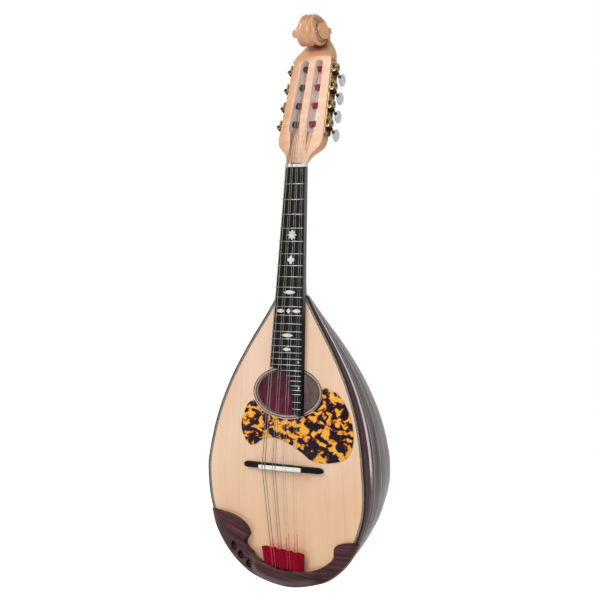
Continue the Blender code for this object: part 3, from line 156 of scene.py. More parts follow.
def bowl_inside():
    """Inside of the bowl: wine red lining near the rim, painted darker and duller above as shade, grey brown along the
    back, streaked down its length.
    """
    material, tree, shader = surface("bowl_inside", Roughness=0.6, Specular_IOR_Level=0.3)
    streaks = add(tree, "ShaderNodeTexNoise", links={"Vector": places(tree, (9, 9, 120)), "Scale": 1.0, "Detail": 5.0})
    lit = ramp(tree, streaks.outputs["Fac"], (0.3, "#9A3A5C"), (0.7, "#D25E88"))
    shaded = ramp(tree, streaks.outputs["Fac"], (0.3, "#6E4459"), (0.7, "#98667E"))
    back = ramp(tree, streaks.outputs["Fac"], (0.3, "#B09A94"), (0.7, "#E4D8D4"))
    place = add(tree, "ShaderNodeSeparateXYZ", links={"Vector": places(tree, (1, 1, 1))})
    # Painted shade: higher up, the inside takes the shaded copy of the wine red.
    high = add(tree, "ShaderNodeMapRange", links={"Value": place.outputs["Z"], "From Min": -275.0, "From Max": -228.0}).outputs["Result"]
    wine = add(tree, "ShaderNodeMix", {"data_type": "RGBA"}, {"Factor": high, "A": lit, "B": shaded}).outputs["Result"]
    away = add(tree, "ShaderNodeMath", {"operation": "ABSOLUTE"}, {0: place.outputs["X"]}).outputs["Value"]
    share = add(tree, "ShaderNodeMapRange", links={"Value": away, "From Min": 50.0, "From Max": 40.0}).outputs["Result"]
    colour = add(tree, "ShaderNodeMix", {"data_type": "RGBA"}, {"Factor": share, "A": wine, "B": back})
    tree.links.new(colour.outputs["Result"], shader.inputs["Base Color"])
    return material


def cover_rosewood(name="cover_rosewood", shade=1.0):
    """Rosewood of the arm rest: purple brown with fine darker and redder streaks that bow along its length. A shade
    below one darkens the whole colour, used as painted shade.
    """
    material, tree, shader = surface(name, Roughness=0.4, Specular_IOR_Level=0.15)
    place = add(tree, "ShaderNodeSeparateXYZ", links={"Vector": places(tree, (1, 1, 1))}).outputs
    lean = add(tree, "ShaderNodeMath", {"operation": "MULTIPLY_ADD"}, {0: place["X"], 1: -0.0015, 2: 0.2}).outputs["Value"]
    across = add(tree, "ShaderNodeMath", {"operation": "MULTIPLY_ADD"}, {0: place["X"], 1: lean, 2: place["Z"]}).outputs["Value"]
    drawn = add(tree, "ShaderNodeCombineXYZ", links={"X": place["X"], "Y": across, "Z": place["Y"]}).outputs["Vector"]
    grain = add(tree, "ShaderNodeVectorMath", {"operation": "MULTIPLY"}, {0: drawn, 1: (0.012, 0.3, 0.02)}).outputs["Vector"]
    streaks = add(tree, "ShaderNodeTexNoise", links={"Vector": grain, "Scale": 1.0, "Detail": 5.0, "Roughness": 0.62,
                                                     "Distortion": 0.4})
    colour = ramp(tree, streaks.outputs["Fac"], (0.34, "#24131A"), (0.48, "#43262B"), (0.6, "#5C3236"), (0.74, "#804444"))
    toned = add(tree, "ShaderNodeVectorMath", {"operation": "SCALE"}, {0: colour, "Scale": shade})
    tree.links.new(toned.outputs["Vector"], shader.inputs["Base Color"])
    return material


def flamed_maple():
    """Maple under amber varnish: pale honey with faint cross flame, short pores, and painted shade darkening the
    scroll's recesses.
    """
    material, tree, shader = surface("flamed_maple", Roughness=0.3, Coat_Weight=0.3, Coat_Roughness=0.12)
    flame = add(tree, "ShaderNodeTexNoise", links={"Vector": places(tree, (30, 30, 7)), "Scale": 1.0, "Detail": 2.0})
    base = ramp(tree, flame.outputs["Fac"], (0.3, "#D39868"), (0.5, "#DEA475"), (0.72, "#E6B086"))
    pores = add(tree, "ShaderNodeTexNoise", links={"Vector": places(tree, (0.8, 0.8, 9)), "Scale": 1.0, "Detail": 2.0})
    fleck = ramp(tree, pores.outputs["Fac"], (0.3, "#D9A878"), (0.42, "#FFFFFF"))
    colour = add(tree, "ShaderNodeMix", {"data_type": "RGBA", "blend_type": "MULTIPLY"}, {"Factor": 0.35, "A": base, "B": fleck})
    # Painted shade: the colour turns red brown where the scroll is occluded.
    open_air = add(tree, "ShaderNodeAmbientOcclusion", {"samples": 8}, {"Distance": 0.009}).outputs["AO"]
    height = add(tree, "ShaderNodeSeparateXYZ", links={"Vector": places(tree, (1, 1, 1))}).outputs["Z"]
    carved = add(tree, "ShaderNodeMapRange", links={"Value": height, "From Min": 104.0, "From Max": 112.0}).outputs["Result"]
    shut = add(tree, "ShaderNodeMapRange", links={"Value": open_air, "From Min": 0.85, "From Max": 0.25}).outputs["Result"]
    painted_recess_shade = add(tree, "ShaderNodeMath", {"operation": "MULTIPLY"}, {0: shut, 1: carved}).outputs["Value"]
    shaded_colour = add(tree, "ShaderNodeMix", {"data_type": "RGBA"}, {"Factor": painted_recess_shade, "A": colour.outputs["Result"], "B": linear("#6E3420")})
    tree.links.new(shaded_colour.outputs["Result"], shader.inputs["Base Color"])
    return material


def oiled_ebony():
    """Ebony, oiled: near black with faint grey grain; along the neck its sides are painted grey as a reflection."""
    material, tree, shader = surface("oiled_ebony", Roughness=0.42, Specular_IOR_Level=0.1)
    grain = add(tree, "ShaderNodeTexNoise", links={"Vector": places(tree, (1.2, 1.2, 30)), "Scale": 1.0, "Detail": 4.0})
    dark = ramp(tree, grain.outputs["Fac"], (0.35, "#121213"), (0.7, "#242426"))
    facing = add(tree, "ShaderNodeSeparateXYZ", links={"Vector": add(tree, "ShaderNodeNewGeometry").outputs["Normal"]})
    aside = add(tree, "ShaderNodeMath", {"operation": "ABSOLUTE"}, {0: facing.outputs["X"]}).outputs["Value"]
    facing_aside = add(tree, "ShaderNodeMapRange", links={"Value": aside, "From Min": 0.9, "From Max": 0.98}).outputs["Result"]
    height = add(tree, "ShaderNodeSeparateXYZ", links={"Vector": places(tree, (1, 1, 1))}).outputs["Z"]
    along_neck = add(tree, "ShaderNodeMapRange", links={"Value": height, "From Min": -170.0, "From Max": -135.0}).outputs["Result"]
    painted_side_reflection = add(tree, "ShaderNodeMath", {"operation": "MULTIPLY"}, {0: facing_aside, 1: along_neck}).outputs["Value"]
    # Painted reflection: surfaces facing sideways along the neck are painted grey.
    colour = add(tree, "ShaderNodeMix", {"data_type": "RGBA"}, {"Factor": painted_side_reflection, "A": dark, "B": linear("#7C7C7E")})
    tree.links.new(colour.outputs["Result"], shader.inputs["Base Color"])
    return material


def polished_bone():
    """Bone: cream with faint darker flecks, polished."""
    material, tree, shader = surface("polished_bone", Roughness=0.3, Subsurface_Weight=0.05)
    flecks = add(tree, "ShaderNodeTexNoise", links={"Vector": places(tree, (2, 2, 2)), "Scale": 1.0, "Detail": 4.0})
    tree.links.new(ramp(tree, flecks.outputs["Fac"], (0.3, "#F8F5EC"), (0.6, "#FBF8F0")), shader.inputs["Base Color"])
    return material


def nacre(name="nacre", grey="#DCDFDB", white="#F6F5F0"):
    """Mother of pearl: near white with slow grey, pink and green clouds and a sharp polish."""
    material, tree, shader = surface(name, Roughness=0.16, Coat_Weight=0.5, Coat_Roughness=0.05)
    clouds = add(tree, "ShaderNodeTexNoise", links={"Vector": places(tree, (6, 6, 6)), "Scale": 1.0, "Detail": 3.0,
                                                    "Distortion": 1.2})
    tree.links.new(ramp(tree, clouds.outputs["Fac"], (0.3, grey), (0.48, white), (0.6, "#E9DFDD"), (0.75, grey)),
                   shader.inputs["Base Color"])
    return material


def gilt():
    """Antique gilt brass: brown gold, dulled in patches."""
    material, tree, shader = surface("gilt_brass", Metallic=1.0)
    wear = add(tree, "ShaderNodeTexNoise", links={"Vector": places(tree, (3, 3, 3)), "Scale": 1.0, "Detail": 4.0})
    tree.links.new(ramp(tree, wear.outputs["Fac"], (0.3, "#5E4A30"), (0.6, "#AE9064")), shader.inputs["Base Color"])
    rough = add(tree, "ShaderNodeMapRange", links={"Value": wear.outputs["Fac"], "To Min": 0.25, "To Max": 0.42})
    tree.links.new(rough.outputs["Result"], shader.inputs["Roughness"])
    return material


def plain_metal(name, low, high, rough):
    """Polished steel or nickel with faint tarnish clouds."""
    material, tree, shader = surface(name, Metallic=1.0, Roughness=rough)
    cloud = add(tree, "ShaderNodeTexNoise", links={"Vector": places(tree, (4, 4, 4)), "Scale": 1.0, "Detail": 3.0})
    tree.links.new(ramp(tree, cloud.outputs["Fac"], (0.3, low), (0.65, high)), shader.inputs["Base Color"])
    return material


def overspun(name, low, high, pitch):
    """Overspun wire or silk lapping: fine bands round the string."""
    material, tree, shader = surface(name, Roughness=0.45)
    waves = add(tree, "ShaderNodeTexWave", {"wave_type": "BANDS", "bands_direction": "Z"},
                {"Vector": places(tree, (pitch, pitch, pitch)), "Scale": 0.31, "Distortion": 0.0})
    tree.links.new(ramp(tree, waves.outputs["Fac"], (0.2, low), (0.8, high)), shader.inputs["Base Color"])
    bump = add(tree, "ShaderNodeBump", links={"Strength": 0.6, "Distance": 0.0001, "Height": waves.outputs["Fac"]})
    tree.links.new(bump.outputs["Normal"], shader.inputs["Normal"])
    return material, shader


def tortoise():
    """Celluloid tortoiseshell: bright amber broken by purple black blotches with thin red brown fringes."""
    material, tree, shader = surface("tortoise_celluloid", Roughness=0.25, Specular_IOR_Level=0.1)
    clouds = add(tree, "ShaderNodeTexNoise", links={"Vector": places(tree, (10, 10, 7.6)), "Scale": 1.0, "Detail": 4.0,
                                                    "Roughness": 0.52, "Distortion": 0.45})
    tree.links.new(ramp(tree, clouds.outputs["Fac"], (0.3, "#120F18"), (0.495, "#1E1022"), (0.51, "#5E1C1A"),
                        (0.525, "#C8581C"), (0.54, "#F5A236"), (0.58, "#FFBB46"), (0.8, "#FFD06A")), shader.inputs["Base Color"])
    return material


def red_felt():
    """Woven red felt: crimson with a soft nap."""
    material, tree, shader = surface("red_felt", Roughness=1.0, Specular_IOR_Level=0.1)
    nap = add(tree, "ShaderNodeTexNoise", links={"Vector": places(tree, (1.1, 1.1, 5)), "Scale": 1.0, "Detail": 4.0})
    tree.links.new(ramp(tree, nap.outputs["Fac"], (0.3, "#7C0620"), (0.7, "#AA1030")), shader.inputs["Base Color"])
    bump = add(tree, "ShaderNodeBump", links={"Strength": 0.5, "Distance": 0.0003, "Height": nap.outputs["Fac"]})
    tree.links.new(bump.outputs["Normal"], shader.inputs["Normal"])
    return material


def flat_wood(name, low, high, gloss=0.2):
    """A thin strip of dyed or pale wood."""
    material, tree, shader = surface(name, Roughness=0.4, Specular_IOR_Level=gloss)
    grain = add(tree, "ShaderNodeTexNoise", links={"Vector": places(tree, (2, 2, 8)), "Scale": 1.0, "Detail": 3.0})
    tree.links.new(ramp(tree, grain.outputs["Fac"], (0.3, low), (0.7, high)), shader.inputs["Base Color"])
    return material


SPRUCE = lacquered_spruce()
RIB = rib_rosewood()
RIM_RIB = rib_rosewood("rim_rosewood", "#2C0E1A", "#55222F", "#74394A", 0.12)
INSIDE = bowl_inside()
COVER = cover_rosewood()
# Arm rest rosewood darkened to 0.12: painted shade inside the dimples.
DIMPLE_PAINTED_SHADE = cover_rosewood("dimple_painted_shade_rosewood", 0.12)
MAPLE = flamed_maple()
EBONY = oiled_ebony()
BONE = polished_bone()
NACRE = nacre()
GILT = gilt()
STEEL = plain_metal("plain_steel", "#7E7C78", "#B4B2AE", 0.3)
NICKEL = plain_metal("nickel_frets", "#A2A29D", "#D8D8D2", 0.3)
DARK_STEEL = plain_metal("browned_steel", "#2A241E", "#5A4E40", 0.35)
PALE_GILT = plain_metal("pale_gilt", "#D8BE8C", "#F0DDB4", 0.3)
PEARL = nacre("pearl_button", "#B9BCC0", "#E6E7E9")
WOUND, WOUND_SHADER = overspun("overspun_strings", "#5E584F", "#9C968C", 0.5)
WOUND_SHADER.inputs["Metallic"].default_value = 1.0
SILK, _ = overspun("red_silk", "#7A0C22", "#B41C3A", 0.6)
TAIL_SILK, _ = overspun("tail_silk", "#B42A34", "#DC4A4C", 0.6)
BROWN_SILK, _ = overspun("brown_silk", "#2A100C", "#5A2A20", 0.6)
TORTOISE = tortoise()
FELT = red_felt()
DARK_STRIP = flat_wood("dyed_strip", "#1C1211", "#33221F")
BRIDGE_EBONY = flat_wood("bridge_ebony", "#0A0606", "#140E0D", 0.08)
# Near white maple for the slots' walls: bare wood, made lighter still as painted light against the shade in the slots.
SLOT_WALL_PAINTED_LIGHT = flat_wood("slot_maple_painted_light", "#FFE2D6", "#FFF0E8")
PALE_STRIP = flat_wood("holly_strip", "#C9BCA8", "#DDD2C0")
RIB_LINE = flat_wood("rib_line", "#C8B2AE", "#EBDAD6")
RIM_PAINTED_HIGHLIGHT = rim_painted_highlight()


# Meshes
def piece(name, verts, faces, materials, body=BODY_ROOT, smooth=40.0, indices=None, uv=None, matrix=None):
    """A mesh object from millimetre points that rides on a body."""
    mesh = bpy.data.meshes.new(name)
    move = matrix or Matrix()
    mesh.from_pydata([(move @ Vector(v)) * MM for v in verts], [], faces)
    for material in materials if isinstance(materials, (list, tuple)) else [materials]:
        mesh.materials.append(material)
    if indices:
        mesh.polygons.foreach_set("material_index", indices)
    if uv:
        layer = mesh.uv_layers.new(name="UVMap")
        for loop in mesh.loops:
            layer.data[loop.index].uv = uv[loop.vertex_index]
    bm = bmesh.new()
    bm.from_mesh(mesh)
    bmesh.ops.recalc_face_normals(bm, faces=bm.faces)
    bm.to_mesh(mesh)
    bm.free()
    mesh.shade_smooth()
    mesh.set_sharp_from_angle(angle=math.radians(smooth))
    obj = bpy.data.objects.new(name, mesh)
    bpy.context.scene.collection.objects.link(obj)
    if body:
        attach(obj, body)
    return obj


def loft(rings, close=True, caps=True):
    """Points and faces of a skin through equal rings."""
    count = len(rings[0])
    verts = [point for ring in rings for point in ring]
    faces = []
    for row in range(len(rings) - 1):
        low, high = row * count, (row + 1) * count
        for k in range(count if close else count - 1):
            after = (k + 1) % count
            faces.append((low + k, low + after, high + after, high + k))
    if caps:
        faces.append(tuple(range(count)))
        faces.append(tuple(range(len(verts) - count, len(verts))))
    return verts, faces


def circle(radius, steps):
    return [(radius * math.cos(math.tau * k / steps), radius * math.sin(math.tau * k / steps)) for k in range(steps)]


def tube_rings(points, radius, sides):
    """Rings of a round tube along a path, carried without twist."""
    points = [Vector(p) for p in points]
    rings = []
    normal = None
    for i, point in enumerate(points):
        ahead = points[min(i + 1, len(points) - 1)] - point
        behind = point - points[max(i - 1, 0)]
        tangent = (ahead.normalized() + behind.normalized()).normalized()
        if normal is None:
            normal = tangent.orthogonal().normalized()
        normal = (normal - tangent * normal.dot(tangent)).normalized()
        across = tangent.cross(normal)
        rings.append([tuple(point + normal * x + across * y) for x, y in circle(radius, sides)])
    return rings


def smooth_rows(rows, steps, after=None):
    """Rows of numbers read from a Catmull-Rom curve through the given rows."""
    before = tuple(2 * a - b for a, b in zip(rows[0], rows[1]))
    after = after or tuple(2 * a - b for a, b in zip(rows[-1], rows[-2]))
    knots = [before, *rows, after]
    points = []
    for i in range(1, len(knots) - 2):
        for step in range(steps):
            t = step / steps
            points.append(tuple(
                0.5 * (2 * b + (c - a) * t + (2 * a - 5 * b + 4 * c - d) * t * t + (3 * b - a - 3 * c + d) * t ** 3)
                for a, b, c, d in zip(*knots[i - 1:i + 3])))
    points.append(tuple(rows[-1]))
    return points


def resampled(points, count):
    """Points at equal steps along a polyline."""
    lengths = [0.0]
    for a, b in zip(points, points[1:]):
        lengths.append(lengths[-1] + math.dist(a, b))
    found = []
    span = 0
    for k in range(count):
        goal = lengths[-1] * k / (count - 1)
        while span < len(points) - 2 and lengths[span + 1] < goal:
            span += 1
        t = (goal - lengths[span]) / (lengths[span + 1] - lengths[span])
        found.append(tuple(a + (b - a) * t for a, b in zip(points[span], points[span + 1])))
    return found


def blend(low, high, value):
    t = min(max((value - low) / (high - low), 0.0), 1.0)
    return t * t * (3 - 2 * t)


def cut(obj, verts, faces, operation="DIFFERENCE", matrix=None, slot=0):
    """Cuts or joins a closed shape with a mesh piece, and keeps the result in its mesh."""
    tool = piece("tool", verts, faces, list(obj.data.materials), body=None, matrix=matrix, indices=[slot] * len(faces))
    modifier = obj.modifiers.new("cut", "BOOLEAN")
    modifier.operation = operation
    modifier.solver = "EXACT"
    modifier.object = tool
    mesh = bpy.data.meshes.new_from_object(obj.evaluated_get(bpy.context.evaluated_depsgraph_get()))
    obj.modifiers.clear()
    old = obj.data
    obj.data = mesh
    bpy.data.meshes.remove(old)
    bpy.data.objects.remove(tool, do_unlink=True)
    mesh.shade_smooth()
    mesh.set_sharp_from_angle(angle=math.radians(35.0))


# Body outline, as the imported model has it
SCALE_LENGTH = 330.0
NUT_WIDTH = 26.0
BOARD_WIDTH_12 = 38.5
BOARD_THICK = 5.5
FRETS = 29
FRETS_LEFT_OUT = (26, 28)
EXTENSION = ((-222.5, -19.6), (-224.0, -13.0), (-226.0, -6.5), (-231.9, 2.0), (-237.4, 5.9), (-242.6, 7.7),
             (-247.5, 8.8), (-252.1, 9.5), (-260.6, 10.3), (-268.2, 11.0), (-272.5, 13.0), (-275.5, 17.0))
# Each row: height, half width, depth and fullness of the bowl's section
BODY = ((-142.0, 19.4, 13.0, 2.2), (-165.0, 33.6, 38.0, 2.2), (-200.0, 56.4, 74.0, 2.2), (-240.0, 78.4, 105.0, 2.2),
        (-285.0, 94.8, 129.0, 2.2), (-333.0, 103.4, 139.5, 2.2), (-372.0, 102.8, 117.5, 2.08),
        (-400.0, 95.0, 92.0, 1.96), (-425.0, 81.6, 61.0, 1.84), (-445.0, 62.6, 37.0, 1.76),
        (-458.0, 39.0, 19.0, 1.7), (-465.0, 0.0, 0.0, 1.7))
RIBS = 25
# The rim ribs are split into a dark band, a painted highlight line and plain wood
RIM_SHARES = {0: (0.0, 0.03, 0.3, 0.5, 0.74, 0.98), 24: (0.0, 0.02, 0.26, 0.5, 0.7, 0.97)}
RIM_KINDS = {0: (3, 3, 3, 4, 0, 1), 24: (1, 0, 4, 3, 3, 3)}
TOP_THICK = 2.5
BINDING_WIDTH = 4.0
CREASE_Z = -333.0
CANT = math.radians(9.5)
HOLE_Z = -250.0
HOLE_HALF_X = 41.3
HOLE_HALF_Z = 24.8
SADDLE_Z = -332.5
BEND_Z = -334.8
SADDLE_HEIGHT = 10.0
BRIDGE_SKEW = math.radians(0.9)
HOOK_Z = -451.0
HOOK_HEIGHT = 6.2
COURSES = {"nut": (6.6, 2.1), "bridge": (13.8, 3.6), "hook": (9.6, 3.6)}
STRING_NAMES = ("g_outer", "g_inner", "d_outer", "d_inner", "a_inner", "a_outer", "e_inner", "e_outer")
GAUGES = (0.88, 0.88, 0.62, 0.62, 0.36, 0.36, 0.26, 0.26)


def top_front(z):
    """Depth of the top's front face: flat to the bridge, then canted, with a small bend between."""
    past = CREASE_Z - z
    if past <= -3.0:
        return 0.0
    if past >= 3.0:
        return past * math.tan(CANT)
    return (past + 3.0) ** 2 / 12.0 * math.tan(CANT)


def body_rows(steps=6):
    z, half, depth, fullness = BODY[-2]
    rows = smooth_rows(BODY, steps, after=(z, -half, -depth, fullness))
    return [(z, half * 0.9997, depth * 0.9993, fullness) for z, half, depth, fullness in rows]


def inset(rows, width):
    """The outline's right side moved inwards in plan, from the neck to the tail's centre."""
    z, half = rows[-2][0], rows[-2][1]
    line = [(r[0], r[1]) for r in rows] + [(z, -half)]
    line.insert(0, (2 * line[0][0] - line[1][0], 2 * line[0][1] - line[1][1]))
    moved = []
    for i in range(1, len(line) - 1):
        dz = line[i + 1][0] - line[i - 1][0]
        dx = line[i + 1][1] - line[i - 1][1]
        run = math.hypot(dz, dx)
        moved.append((line[i][0] - dx / run * width, max(line[i][1] + dz / run * width, 0.0)))
    moved[-1] = (moved[-1][0], 0.0)
    return moved


def superellipse(angle, fullness):
    across = math.copysign(abs(math.cos(angle)) ** (2 / fullness), math.cos(angle))
    return across, max(math.sin(angle), 0.0) ** (2 / fullness)


def bowl_point(z, half, depth, fullness, place):
    """A point on the bowl at a place counted in ribs, each rib a nearly flat facet."""
    rib = min(int(place), RIBS - 1)
    share = place - rib
    low, high, arc = (superellipse(math.pi * spot / RIBS, fullness) for spot in (rib, rib + 1, place))
    crown = 0.35
    across, back = ((1 - crown) * (a + (b - a) * share) + crown * c for a, b, c in zip(low, high, arc))
    return half * across, top_front(z) + TOP_THICK + depth * back, z


def make_bowl():
    """Ribbed shell: each rib a facet between thin holly lines, with the inside skin and the rim."""
    rows = body_rows()
    line_half = 0.45
    verts, uv, faces, kinds = [], [], [], []
    rings = []
    run = 0.0
    for i, (z, half, depth, fullness) in enumerate(rows[:-1]):
        if i:
            run += math.dist((z, half, depth), rows[i - 1][:3])
        width = max(math.pi * (half + depth) / 2 / RIBS, 0.5)
        edge = min(line_half / width, 0.25)
        ring = []
        for rib in range(RIBS):
            for share in RIM_SHARES.get(rib, (0.0, edge, 0.27, 0.5, 0.73, 1 - edge)):
                ring.append(len(verts))
                verts.append(bowl_point(z, half, depth, fullness, rib + share))
                uv.append((rib + share * 0.98 + 0.01, run * 0.01))
        ring.append(len(verts))
        verts.append(bowl_point(z, half, depth, fullness, RIBS))
        uv.append((RIBS - 0.01, run * 0.01))
        rings.append(ring)
    pole = len(verts)
    verts.append((0.0, top_front(rows[-1][0]) + TOP_THICK, rows[-1][0]))
    uv.append((RIBS / 2, run * 0.01))
    for low, high in zip(rings, rings[1:]):
        for k in range(len(low) - 1):
            faces.append((low[k], low[k + 1], high[k + 1], high[k]))
            kinds.append(RIM_KINDS.get(k // 6, (1, 0, 0, 0, 0, 1))[k % 6])
    for k in range(len(rings[-1]) - 1):
        faces.append((rings[-1][k], rings[-1][k + 1], pole))
        kinds.append(0)
    outer_rim = [[ring[0] for ring in rings] + [pole], [ring[-1] for ring in rings] + [pole]]
    inner_rings = []
    for (z, half), (_, outer, depth, fullness) in zip(inset(rows, 3.0)[:-1], rows):
        ring = []
        for k in range(2 * RIBS + 1):
            ring.append(len(verts))
            verts.append(bowl_point(z, half, depth * half / outer, fullness, k / 2))
            uv.append((k / 2 * 0.98 + 0.01, run * 0.01))
        inner_rings.append(ring)
    inner_pole = len(verts)
    z = inset(rows, 3.0)[-1][0]
    verts.append((0.0, top_front(z) + TOP_THICK, z))
    uv.append((RIBS / 2, run * 0.01))
    for low, high in zip(inner_rings, inner_rings[1:]):
        for k in range(len(low) - 1):
            faces.append((low[k], low[k + 1], high[k + 1], high[k]))
            kinds.append(2)
    for k in range(len(inner_rings[-1]) - 1):
        faces.append((inner_rings[-1][k], inner_rings[-1][k + 1], inner_pole))
        kinds.append(2)
    for outer_line, end in zip(outer_rim, (0, -1)):
        inner_line = [ring[end] for ring in inner_rings] + [inner_pole]
        for k in range(len(outer_line) - 1):
            faces.append((outer_line[k], outer_line[k + 1], inner_line[k + 1], inner_line[k]))
            kinds.append(0)
    first, inner_first = rings[0], inner_rings[0]
    faces.append(tuple(first + inner_first[::-1]))
    kinds.append(0)
    bowl = piece("ribbed_bowl", verts, faces, [RIB, RIB_LINE, INSIDE, RIM_RIB, RIM_PAINTED_HIGHLIGHT], indices=kinds, uv=uv, smooth=12)
    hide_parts("bowl")


def outline_path(width=0.0):
    """Right side from the neck to the tail, then the left side back: (x, z) points at some inset."""
    half = [(x, z) for z, x in (inset(body_rows(), width) if width else [(r[0], r[1]) for r in body_rows()])]
    return half + [(-x, z) for x, z in half[-2::-1]]


def make_top():
    """Spruce plate with the sound hole cut through it."""
    line = inset(body_rows(), BINDING_WIDTH)
    verts = []
    shares = [s / 12 for s in range(-12, 13)]
    for back in (0.0, TOP_THICK):
        for z, half in line[:-1]:
            verts += [(half * s, top_front(z) + back, z) for s in shares]
        verts.append((0.0, top_front(line[-1][0]) + back, line[-1][0]))
    wide = len(shares)
    sheet = (len(line) - 1) * wide + 1
    faces = []
    for base in (0, sheet):
        for i in range(len(line) - 2):
            for k in range(wide - 1):
                a = base + i * wide + k
                faces.append((a, a + 1, a + wide + 1, a + wide))
        last = base + (len(line) - 2) * wide
        faces += [(last + k, last + k + 1, base + sheet - 1) for k in range(wide - 1)]
    rim = [i * wide + wide - 1 for i in range(len(line) - 1)] + [sheet - 1]
    rim += [i * wide for i in range(len(line) - 2, -1, -1)]
    for a, b in zip(rim, rim[1:]):
        faces.append((a, b, b + sheet, a + sheet))
    for k in range(wide - 1):
        faces.append((k, k + 1, sheet + k + 1, sheet + k))
    top = piece("spruce_top", verts, faces, SPRUCE, smooth=30)
    cut(top, *loft([oval(0.0, -3.0), oval(0.0, TOP_THICK + 3.0)]))
    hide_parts("soundboard")


def oval(grow, y, steps=96):
    return [((HOLE_HALF_X + grow) * math.cos(math.tau * k / steps), y,
             HOLE_Z + (HOLE_HALF_Z + grow) * math.sin(math.tau * k / steps)) for k in range(steps)]


def make_binding():
    """Edge binding: dark outer strip, pale line, dark line, pale line and dark line, all flush with the top."""
    bands = ((0.0, 0.35, 0), (0.35, 1.9, 0), (1.9, 2.3, 1), (2.3, 3.0, 0), (3.0, 3.4, 1), (3.4, BINDING_WIDTH, 0))
    edges = [0.0] + [band[1] for band in bands]
    paths = [outline_path(edge) for edge in edges]
    rings = []
    for i in range(len(paths[0])):
        ring = [(paths[0][i][0], top_front(paths[0][i][1]) + 0.35, paths[0][i][1])]
        ring += [(path[i][0], top_front(path[i][1]) - 0.02, path[i][1]) for path in paths[1:]]
        x, z = paths[-1][i]
        ring.append((x, top_front(z) + TOP_THICK, z))
        x, z = paths[0][i]
        ring.append((x, top_front(z) + TOP_THICK, z))
        rings.append(ring)
    verts, faces = loft(rings)
    kinds = []
    count = len(rings[0])
    for _ in range(len(rings) - 1):
        kinds += [band[2] for band in bands] + [0, 0, 0][:count - len(bands)]
    kinds += [0, 0]
    binding = piece("edge_binding", verts, faces, [DARK_STRIP, PALE_STRIP], indices=kinds, smooth=50)
    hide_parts("binding")


def rosette_inlay():
    """Sound hole ring: a strip of small alternating dark and pale blocks laid end to end round the hole."""
    material, tree, shader = surface("rosette_blocks", Roughness=0.35, Coat_Weight=0.3, Coat_Roughness=0.12)
    uv = add(tree, "ShaderNodeUVMap").outputs["UV"]
    split = add(tree, "ShaderNodeSeparateXYZ", links={"Vector": uv})
    slanted = add(tree, "ShaderNodeMath", {"operation": "MULTIPLY_ADD"}, {0: split.outputs["Y"], 1: 0.9, 2: split.outputs["X"]})
    block = add(tree, "ShaderNodeMath", {"operation": "PINGPONG"}, {0: slanted.outputs["Value"], 1: 1.0}).outputs["Value"]
    tree.links.new(ramp(tree, block, (0.35, "#857A6E"), (0.5, "#A0968A"), (0.66, "#BFB5A7")), shader.inputs["Base Color"])
    return material


def make_rosette():
    blocks = rosette_inlay()
    edges = (0.0, 1.2, 1.4, 2.9, 3.1, 4.1)
    kinds_of = (0, 1, 2, 1, 0)
    steps = 120
    verts, faces, kinds, uv = [], [], [], []
    rings = []
    for depth, list_edges in ((-0.1, edges), (1.2, (4.1, 0.0))):
        for edge in list_edges:
            rings.append(len(verts))
            verts += oval(edge, depth, steps)
            uv += [(k * 170 / steps, edge) for k in range(steps)]
    rings.append(rings[0])
    for ring, (low, high) in enumerate(zip(rings, rings[1:])):
        for k in range(steps):
            after = (k + 1) % steps
            faces.append((low + k, low + after, high + after, high + k))
            kinds.append(kinds_of[ring] if ring < len(kinds_of) else 0)
    ring = piece("rosette_ring", verts, faces, [DARK_STRIP, PALE_STRIP, blocks], indices=kinds, uv=uv, smooth=30)
    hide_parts("rosette")


PICKGUARD_EDGE = ((-52.7, -267.2), (-59.2, -290.0), (-50.3, -308.4), (-41.0, -310.6), (-30.4, -304.3),
                  (-14.6, -301.1), (4.3, -306.4), (23.0, -315.5), (36.4, -323.4), (58.3, -325.0),
                  (80.6, -317.9), (88.3, -299.2), (83.0, -272.0), (66.0, -249.5))


def make_pickguard():
    reach_x, reach_z = HOLE_HALF_X + 5.1, HOLE_HALF_Z + 5.1
    ring = []
    for k in range(61):
        angle = math.radians(200 + 176 * k / 60)
        ring.append((reach_x * math.cos(angle), HOLE_Z + reach_z * math.sin(angle)))
    edge = smooth_rows((ring[0], *PICKGUARD_EDGE, ring[-1]), 8)[1:-1]
    outline = ring + edge[::-1]
    rings = [[(x, -0.3, z) for x, z in outline], [(x, -1.05, z) for x, z in outline],
             [(x, -1.3, z) for x, z in shrunk(outline, 0.3)]]
    guard = piece("tortoise_guard", *loft(rings), TORTOISE, smooth=50)
    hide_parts("pickguard")


def shrunk(outline, width):
    """A closed outline moved inwards."""
    area = sum(a[0] * b[1] - b[0] * a[1] for a, b in zip(outline, outline[1:] + outline[:1]))
    turn = 1.0 if area > 0 else -1.0
    found = []
    for i, (x, z) in enumerate(outline):
        before, after = outline[i - 1], outline[(i + 1) % len(outline)]
        dx, dz = after[0] - before[0], after[1] - before[1]
        run = math.hypot(dx, dz) or 1.0
        found.append((x - turn * dz / run * width, z + turn * dx / run * width))
    return found


# Fingerboard
def fret_z(number):
    return SCALE_LENGTH * (2 ** (-number / 12) - 1)


def board_half(z):
    return NUT_WIDTH / 2 - z * (BOARD_WIDTH_12 - NUT_WIDTH) / SCALE_LENGTH


def board_left(z):
    if z >= EXTENSION[0][0]:
        return -board_half(z)
    for (z0, x0), (z1, x1) in zip(EXTENSION, EXTENSION[1:]):
        if z >= z1:
            return x0 + (x1 - x0) * (z - z0) / (z1 - z0)
    return EXTENSION[-1][1]


